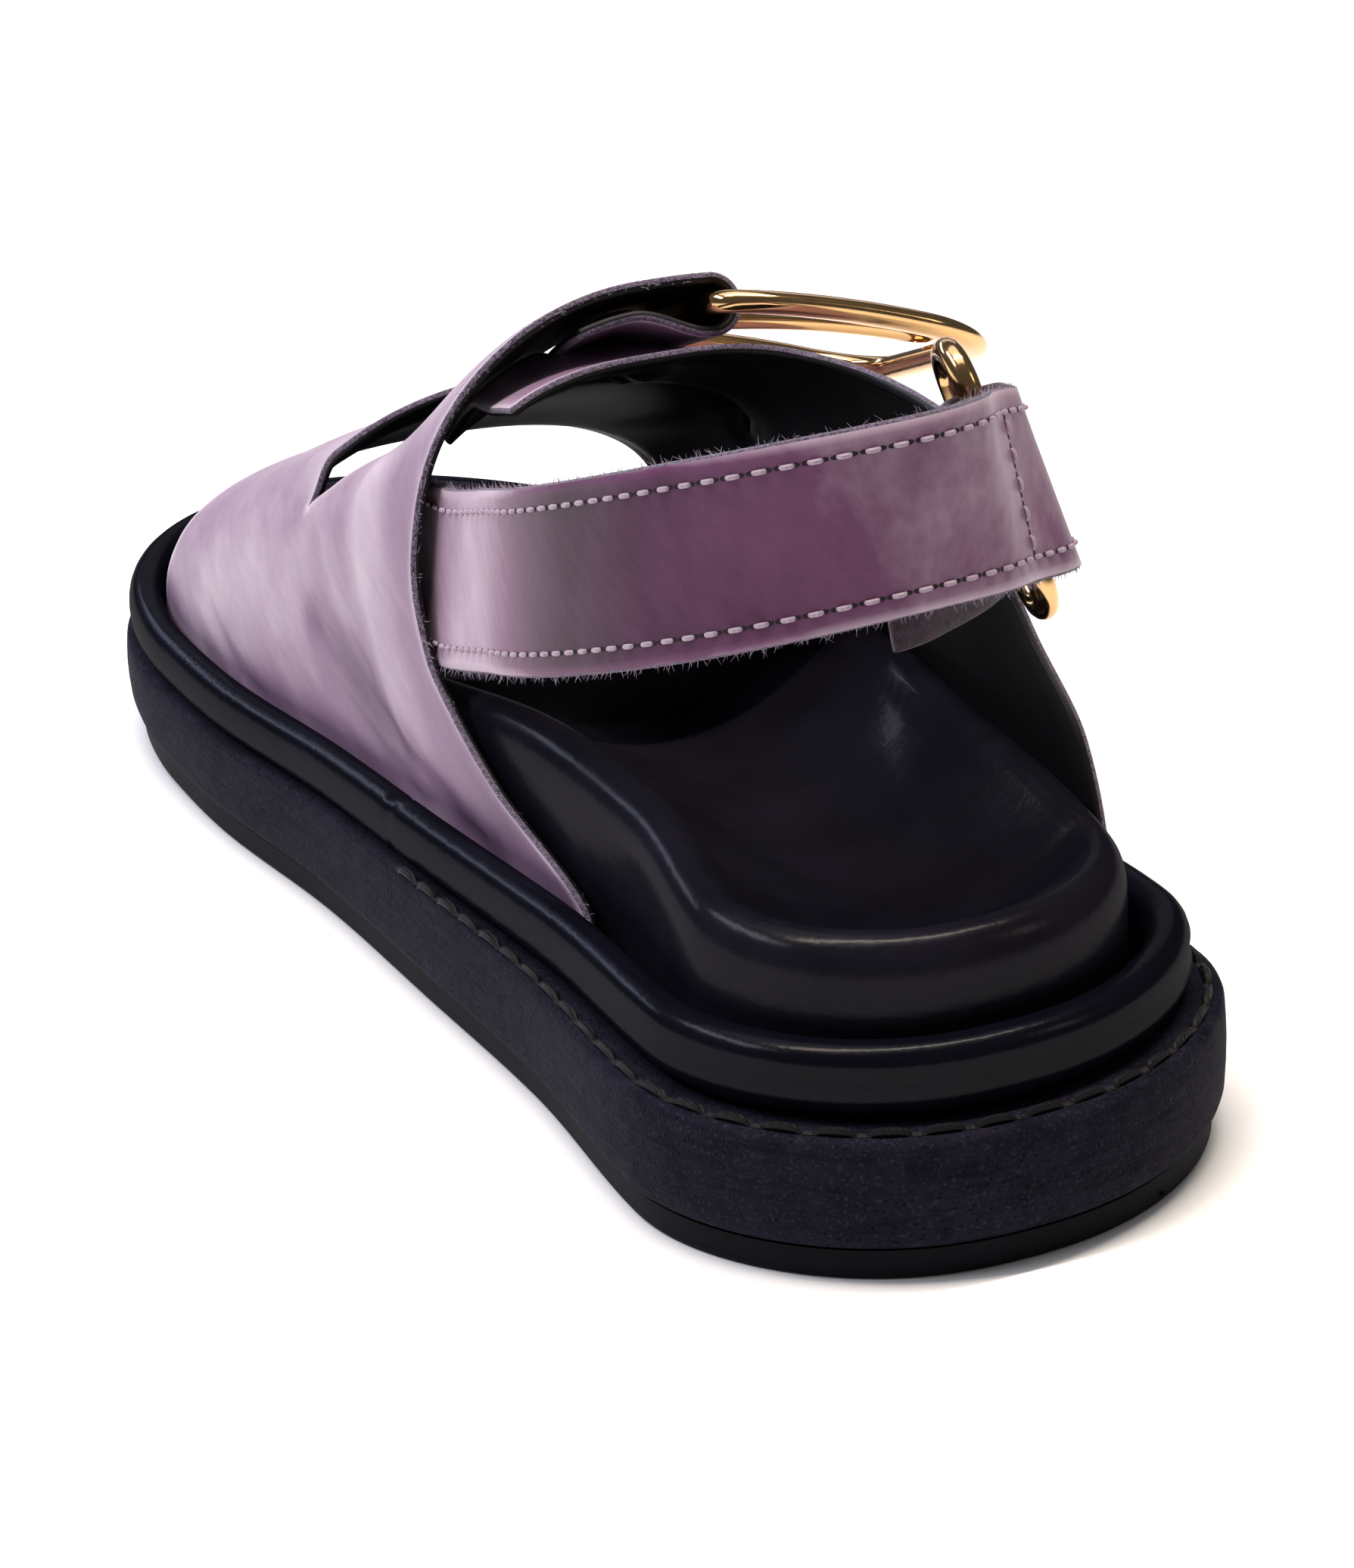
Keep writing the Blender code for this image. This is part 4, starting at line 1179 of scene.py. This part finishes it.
def gilt_metal():
    """Zinc casting, polished and plated with pale gold: sharp reflections, fine handling marks."""
    material, tree, shader, where = start_material("polished_gilt")
    rub = noise(tree, where, 4, 5.0)
    set_sockets(tree, shader, {
        "Base Color": hex_linear("#dcb27c"),
        "Metallic": 1.0,
        "Roughness": stretch(tree, rub, target=(0.08, 0.2)),
        "Normal": bumped(tree, rub, 0.05, 0.2),
    })
    return material


def make_ring():
    form = Form()
    loop = rounded_loop(RING_DEPTH, RING_HEIGHT, RING_DEPTH / 2 - 0.2, 10)
    path = [RING_FRONT + RING_BACK * u + RING_UP * v for u, v, _, _ in loop]
    across = [RING_BACK * a + RING_UP * b for _, _, a, b in loop]
    sweep(form, path, across, [RING_OUT] * len(loop), [(RING_WIRE, RING_WIRE)] * len(loop), True)
    return form


gilt = gilt_metal()
add_piece("oval_ring", make_ring(), [gilt], "gilt_metal", "ring")

# Ring loop
# A short strip of the strap leather, lined in black and thinner than the upper.
# It is folded round the ring's front bar, and its two legs are sewn to the outer panel.
LOOP_WIDTH = 14.0
LOOP_LEG = 9.5
LOOP_CLEAR = 1.6


def ribbon(line, upward, width, thickness, columns):
    """Flat strap along a line, its width along the given directions, and its outward directions."""
    line = np.asarray(line)
    upward = np.asarray(upward)
    tangent = unit_rows(np.gradient(line, axis=0))
    upward = unit_rows(upward - tangent * (upward * tangent).sum(1, keepdims=True))
    out = np.cross(tangent, upward)
    offsets = np.linspace(-width / 2, width / 2, columns + 1)
    grid = (line + out * thickness / 2)[:, None] + upward[:, None] * offsets[None, :, None]
    return grid, out, upward


def make_ring_loop():
    radius = RING_WIRE + FOLD_CLEAR + LEATHER / 2
    thick = LEATHER * 0.8
    leg = LEATHER / 2 + LOOP_CLEAR + thick / 2
    line = []
    legs = np.linspace(LOOP_LEG, 0, 20)
    offsets = leg + (radius - leg) * ease(1 - legs / 7.0)
    line += [RING_FRONT - RING_BACK * d + RING_OUT * o for d, o in zip(legs[:-1], offsets)]
    line += [RING_FRONT + radius * (cos(t) * RING_OUT + sin(t) * RING_BACK) for t in np.linspace(0, pi, 25)]
    line += [RING_FRONT - RING_BACK * d - RING_OUT * o for d, o in zip(legs[::-1][1:], offsets[::-1][1:])]
    grid, _, _ = ribbon(line, [RING_UP] * len(line), LOOP_WIDTH, thick, 12)
    return thick_sheet([grid], thick)


# The upper's lilac leather with darker colours: painted shade, for the less light the strap and ring strip
# face
strap_lilac_painted_shade = waxed_lilac("waxed_strap_leather_painted_shade", "#35182f", "#684260", "#b29eae")
loop_form = make_ring_loop()
loop_piece = add_piece("ring_strip", loop_form, [strap_lilac_painted_shade, lining, cut_edge], "lilac_leather", "ring_loop")
store_pull_and_light(loop_piece, edge_pull(loop_form))

# Heel strap
# A long strap of the same leather, coloured darker as painted shade, with a dyed flesh side, sewn along both
# edges with pale thread.
# It starts under the inner panel, runs round the heel, passes through the ring and folds back inside.
# Middle line of the strap: x, y, z, inward lean in degrees
BACK_STRAP = (
    (-24.0, 140, 52.6, 9),
    (-25.2, 124, 55.5, 9),
    (-26.0, 113, 57.5, 9),
    (-27.1, 103, 60.5, 8),
    (-28.7, 91, 64.5, 6),
    (-30.4, 77, 69.0, 5),
    (-29.6, 60, 74.8, 5),
    (-26.0, 44.5, 80.4, 5),
    (-18.5, 32.5, 85.0, 5),
    (-8.5, 26, 87.8, 5),
    (2.0, 25, 88.6, 5),
    (11.0, 29, 87.6, 6),
    (18.0, 36.5, 85.2, 6),
)
STRAP_WIDTH = 23.4
STRAP_THICK = 2.4
STRAP_APPROACH = 6.0
STRAP_RETURN = 46.0
RETURN_DROP = 5.5
DROP_FROM = 12.0
STRAP_ROWS = 160
SEAM_IN = 2.7
CROSS_STITCH = 19.0
# Painted light along the strap: painted sheen at its inner end (above 0), painted shade along its middle and
# near the ring (below 0): distance along the strap, amount
STRAP_PAINTED_LIGHT = (
    (0, 0.2), (24, 0.27), (46, 0.32), (60, 0.0), (74, -0.38),
    (100, -0.36), (128, 0.0), (165, 0.0), (190, -0.4),
)
STRAP_FIBRES = 420
STRAP_SEED = 7
# Stitches: pitch, length, radius
SEAM_STITCH = (3.4, 2.0, 0.33)


def heel_strap_line():
    """Middle line of the strap to its end on the inside, and its upward directions."""
    radius = RING_WIRE + FOLD_CLEAR + STRAP_THICK / 2
    end = RING_REAR + RING_OUT * radius
    rows = np.array(BACK_STRAP, float)
    knots = np.vstack([rows[:, :3], end + RING_BACK * STRAP_APPROACH, end])
    run = run_along(knots)
    table = np.column_stack([run, knots, np.append(rows[:, 3], (8, 8))])
    at = np.linspace(0, run[-1], STRAP_ROWS)
    line = np.column_stack([smooth(table, c, at) for c in (1, 2, 3)])
    lean = np.radians(smooth(table, 4, at))
    tangent = unit_rows(np.gradient(line, axis=0))
    outward = unit_rows(np.column_stack([tangent[:, 1], -tangent[:, 0], np.zeros(STRAP_ROWS)]))
    upright = np.array((0.0, 0.0, 1.0)) * np.cos(lean)[:, None] - outward * np.sin(lean)[:, None]
    share = ease((at - run[-1] + 40) / 34)[:, None]
    upward = unit_rows(upright * (1 - share) + RING_UP * share)
    fold = np.linspace(0, pi, 33)[1:, None]
    fold_line = RING_REAR + radius * (np.cos(fold) * RING_OUT - np.sin(fold) * RING_BACK)
    back_run = run[-1] - at
    keep = np.where((back_run > 0.5) & (back_run <= STRAP_RETURN))[0][::-1]
    inward = np.cross(upward, tangent)
    lie = STRAP_THICK + 3 * GAP
    depth = lie + (2 * radius - lie) * ease(1 - back_run / 16)
    drop = RETURN_DROP * ease((back_run - DROP_FROM) / (STRAP_RETURN - DROP_FROM))
    back_line = (line + inward * depth[:, None] - upward * drop[:, None])[keep]
    whole = np.vstack([line, fold_line, back_line])
    ups = np.vstack([upward, np.tile(RING_UP, (len(fold), 1)), upward[keep]])
    return whole, ups


strap_line, strap_ups = heel_strap_line()
strap_grid, strap_out, strap_ups = ribbon(strap_line, strap_ups, STRAP_WIDTH, STRAP_THICK, 20)
strap_form = thick_sheet([strap_grid], STRAP_THICK)


def flesh_side():
    """Unlined flesh side of the strap, dyed through: dark aubergine nap."""
    return napped("dyed_flesh_side", 0.8, 5.0, (0.4, "#1a0f19"), (0.7, "#3f2a3d"), 0.2, 0.6, 0.25)


strap_faces = [strap_lilac_painted_shade, flesh_side(), cut_edge]
strap_piece = add_piece("heel_strap", strap_form, strap_faces, "lilac_leather", "back_strap")


def strap_painted_light(points):
    """Painted sheen and painted shade along the strap, read at the nearest row of its middle line."""
    outside = strap_line[:STRAP_ROWS + 8]
    nearest = [int(np.argmin(((outside - p) ** 2).sum(1))) for p in points]
    return smooth(STRAP_PAINTED_LIGHT, 1, run_along(strap_line)[nearest])


# Edge wear with the strap's painted sheen and painted shade
store_pull_and_light(strap_piece, edge_pull(strap_form) + strap_painted_light(strap_form.outer))


def seam_stitches():
    """Rows along both edges of the strap, and one across it before the ring."""
    form = Form()
    shown = slice(12, STRAP_ROWS - 2)
    for side in (-1, 1):
        offset = strap_ups * side * (STRAP_WIDTH / 2 - SEAM_IN)
        line = strap_line + strap_out * (STRAP_THICK / 2) + offset
        stitch_row(form, line[shown], strap_out[shown], *SEAM_STITCH)
    run = np.linalg.norm(strap_line[:STRAP_ROWS] - strap_line[STRAP_ROWS - 1], axis=1)
    row = int(np.argmin(abs(run - CROSS_STITCH)))
    across = np.linspace(-1, 1, 12)[:, None] * (STRAP_WIDTH / 2 - SEAM_IN)
    line = strap_line[row] + strap_out[row] * (STRAP_THICK / 2) + strap_ups[row] * across
    stitch_row(form, line, np.tile(strap_out[row], (12, 1)), *SEAM_STITCH)
    return form


def strap_fibres():
    """Fibres along both cut edges of the strap."""
    form = Form()
    chance = np.random.default_rng(STRAP_SEED)
    shown = slice(8, STRAP_ROWS - 2)
    for side in (-1, 1):
        edge = strap_line + strap_out * (STRAP_THICK / 2 - 0.7) + strap_ups * side * (STRAP_WIDTH / 2)
        edge_fibres(form, chance, edge[shown], strap_ups[shown] * side, strap_out[shown], STRAP_FIBRES)
    return form


add_piece("heel_strap_fibres", strap_fibres(), [fibre], "lilac_leather")
pale_thread = waxed_thread("waxed_pale_thread", "#a896a6")
add_piece("heel_strap_seams", seam_stitches(), [pale_thread, hole], "lilac_leather")

# Buckle
# A big rounded frame of polished gilt metal whose thinner inner bar lies in the instep strap's fold,
# with a round pin hooked on the bar and resting on the far side.
BUCKLE_LENGTH = 40.0
BUCKLE_SPAN = 42.5
BUCKLE_CORNER = 11.0
BAR_CORNER = 2.6
CORNER_STEPS = 14
BAR_STEPS = 6
BUCKLE_WIRE = (5.4, 3.2)
BUCKLE_TILT = radians(10)
BUCKLE_SAG = 5.0
PRONG_RADIUS = 1.4


def buckle_axes():
    grid, along, bar, out = instep_grid()
    return grid[-1].mean(0) - out * FOLD_RADIUS, along, bar, out


BUCKLE_MIDDLE, BUCKLE_ALONG, BUCKLE_BAR, BUCKLE_OUT = buckle_axes()


def buckle_point(u, v, lift=0.0):
    """Point on the bent plane of the buckle."""
    across = BUCKLE_ALONG * cos(BUCKLE_TILT) - BUCKLE_OUT * sin(BUCKLE_TILT)
    normal = BUCKLE_OUT * cos(BUCKLE_TILT) + BUCKLE_ALONG * sin(BUCKLE_TILT)
    sag = BUCKLE_SAG * (u / BUCKLE_LENGTH) ** 2
    return BUCKLE_MIDDLE + across * u + BUCKLE_BAR * v + normal * (lift - sag)


def make_buckle():
    form = Form()
    far = rounded_loop(BUCKLE_LENGTH, BUCKLE_SPAN, BUCKLE_CORNER, CORNER_STEPS)
    near = rounded_loop(BUCKLE_LENGTH, BUCKLE_SPAN, BAR_CORNER, BAR_STEPS)
    straight = np.linspace(BUCKLE_LENGTH - BUCKLE_CORNER, BAR_CORNER, 12)[1:-1]
    sides = [(u, BUCKLE_SPAN / 2, 0.0, 1.0) for u in straight]
    other = [(u, -v, a, -b) for u, v, a, b in sides[::-1]]
    far_corner, near_corner = CORNER_STEPS + 1, BAR_STEPS + 1
    loop = far[:far_corner] + sides + near[near_corner:3 * near_corner] + other + far[3 * far_corner:]
    path, across, binormal, sizes = [], [], [], []
    for u, v, a, b in loop:
        p = buckle_point(u, v)
        along = unit_rows(buckle_point(u + 0.1, v) - p)
        thin = float(ease(1 - (u - 1.0) / 5.0))
        path.append(p)
        across.append(along * a + BUCKLE_BAR * b)
        binormal.append(unit_rows(np.cross(along, BUCKLE_BAR)))
        sizes.append(tuple(wire / 2 * (1 - thin) + BAR_RADIUS * thin for wire in BUCKLE_WIRE))
    sweep(form, path, across, binormal, sizes, True, 20)
    return form


def make_prong():
    form = Form()
    end_lift = BUCKLE_WIRE[1] / 2 + PRONG_RADIUS + GAP
    t = np.linspace(0, 1, 25)
    u = FOLD_RADIUS + 1.0 + (BUCKLE_LENGTH - FOLD_RADIUS) * t
    path = [buckle_point(a, 0.0, end_lift * b) for a, b in zip(u, t)]
    normal = [unit_rows(np.cross(buckle_point(a + 1, 0) - buckle_point(a, 0), BUCKLE_BAR)) for a in u]
    taper = PRONG_RADIUS * np.where(t > 0.9, np.sqrt(np.clip(1 - ((t - 0.9) / 0.104) ** 2, 0.02, 1)), 1.0)
    sweep(form, path, [BUCKLE_BAR] * len(t), normal, [(r, r) for r in taper], False)
    return form


add_piece("buckle_loop", make_buckle(), [gilt], "gilt_metal", "buckle_frame")
add_piece("buckle_pin", make_prong(), [gilt], "gilt_metal", "buckle_prong")

# Toe strap's end
# The end of the toe strap, laid over the outer side of the toe band and held there by a
# hook-and-loop patch, its tip a little lifted.
TAB_S = (0.50, 0.74)
TAB_Y = (178.0, 203.0)
TAB_FREE = 9.0
TAB_CURL = radians(9)
TAB_STEPS = 14
# Tip: rows over which it narrows, and by what share
TAB_TIP = (8, 0.16)


def make_toe_tab():
    lie = LEATHER + 3 * GAP
    fractions = np.linspace(*TAB_S, 30)
    stations = np.linspace(*TAB_Y, 25)
    grid = np.array([[on_last(s, y) for y in stations] for s in fractions])
    grid = grid + grid_normals(grid) * lie
    along = unit_rows((grid[-1] - grid[-2]).mean(0))
    out = grid_normals(grid)[-1].mean(0)
    out = unit_rows(out - along * out.dot(along))
    rows = list(grid)
    for k in range(1, TAB_STEPS + 1):
        turn = TAB_CURL * k / TAB_STEPS * 2
        rows.append(rows[-1] + TAB_FREE / TAB_STEPS * (along * cos(turn) + out * sin(turn)))
    rows = np.array(rows)
    middle = rows.mean(1, keepdims=True)
    tip_rows, narrowing = TAB_TIP
    tip = np.clip((np.arange(len(rows)) - len(rows) + tip_rows) / tip_rows, 0, 1)
    narrow = 1 - narrowing * tip ** 3
    rows = middle + (rows - middle) * narrow[:, None, None]
    return thick_sheet([rows], LEATHER)


tab_form = make_toe_tab()
tab_piece = add_piece("toe_strap_tip", tab_form, [lilac, lining, cut_edge], "lilac_leather", "toe_strap_end")
store_pull_and_light(tab_piece, edge_pull(tab_form))

# Floor, light and camera
# A floor of pale matt paper, lit by soft boxes and two narrow strips.
# It is seen from behind, above and the inner side, as in the photograph.
FLOOR_HALF = 2.5
CAMERA_AT = (-0.2465, -0.5914, 0.2771)
CAMERA_AIM = (0.00127, -0.01153, 0.0202)
CAMERA_ROLL = radians(-2.41)
CAMERA_LENS = 112.15


def pale_paper():
    """Matt white background paper."""
    material, tree, shader, _ = start_material("pale_paper")
    set_sockets(tree, shader, {
        "Base Color": hex_linear("#fbfbfc"), "Roughness": 0.9, "Specular IOR Level": 0.1,
    })
    return material


floor_mesh = bpy.data.meshes.new("floor")
floor_corners = [(x * FLOOR_HALF, y * FLOOR_HALF, 0) for x, y in ((-1, -1), (1, -1), (1, 1), (-1, 1))]
floor_mesh.from_pydata(floor_corners, [], [(0, 1, 2, 3)])
floor_mesh.materials.append(pale_paper())
floor = bpy.data.objects.new("floor", floor_mesh)
bpy.context.scene.collection.objects.link(floor)


def soft_box(name, at, aim, size, watts, code):
    """Rectangular lamp aimed at a point."""
    lamp = bpy.data.lights.new(name, "AREA")
    lamp.shape = "RECTANGLE"
    lamp.size, lamp.size_y = size
    lamp.energy = watts
    lamp.color = hex_linear(code)[:3]
    stand = bpy.data.objects.new(name, lamp)
    stand.location = at
    stand.rotation_euler = (Vector(aim) - Vector(at)).to_track_quat("-Z", "Y").to_euler()
    bpy.context.scene.collection.objects.link(stand)


soft_box("top_box", (0.0, 0.15, 1.4), (0.0, 0.0, 0.0), (1.3, 1.3), 8.5, "#eef2ff")
soft_box("strip_box", (0.0, -0.05, 1.25), (0.0, 0.0, 0.0), (1.2, 0.02), 19.0, "#fff0de")
soft_box("left_box", (-0.95, 0.3, 1.1), (0.0, 0.0, 0.05), (1.0, 0.22), 10.5, "#eff2ff")
soft_box("front_strip", (-0.55, 1.6, 0.72), (0.0, 0.0, 0.04), (1.2, 0.05), 9.0, "#d3dfff")
soft_box("back_box", (0.8, 1.9, 0.9), (0.0, 0.0, 0.0), (1.4, 0.7), 2.5, "#f4f2ff")
soft_box("right_box", (1.0, -0.9, 0.9), (0.0, 0.0, 0.05), (0.3, 0.4), 1.2, "#fff0dc")

world = bpy.data.worlds.new("studio")
world.use_nodes = True
world.node_tree.nodes["Background"].inputs["Color"].default_value = hex_linear("#f2f4f8")
world.node_tree.nodes["Background"].inputs["Strength"].default_value = 0.1
bpy.context.scene.world = world
bpy.context.scene.view_settings.view_transform = "Standard"

camera = bpy.data.objects.new("camera", bpy.data.cameras.new("camera"))
camera.data.lens = CAMERA_LENS
camera.data.clip_start = 0.05
aim = (Vector(CAMERA_AIM) - Vector(CAMERA_AT)).to_track_quat("-Z", "Y").to_matrix().to_4x4()
camera.matrix_world = Matrix.Translation(CAMERA_AT) @ aim @ Matrix.Rotation(CAMERA_ROLL, 4, "Z")
bpy.context.scene.collection.objects.link(camera)
bpy.context.scene.camera = camera
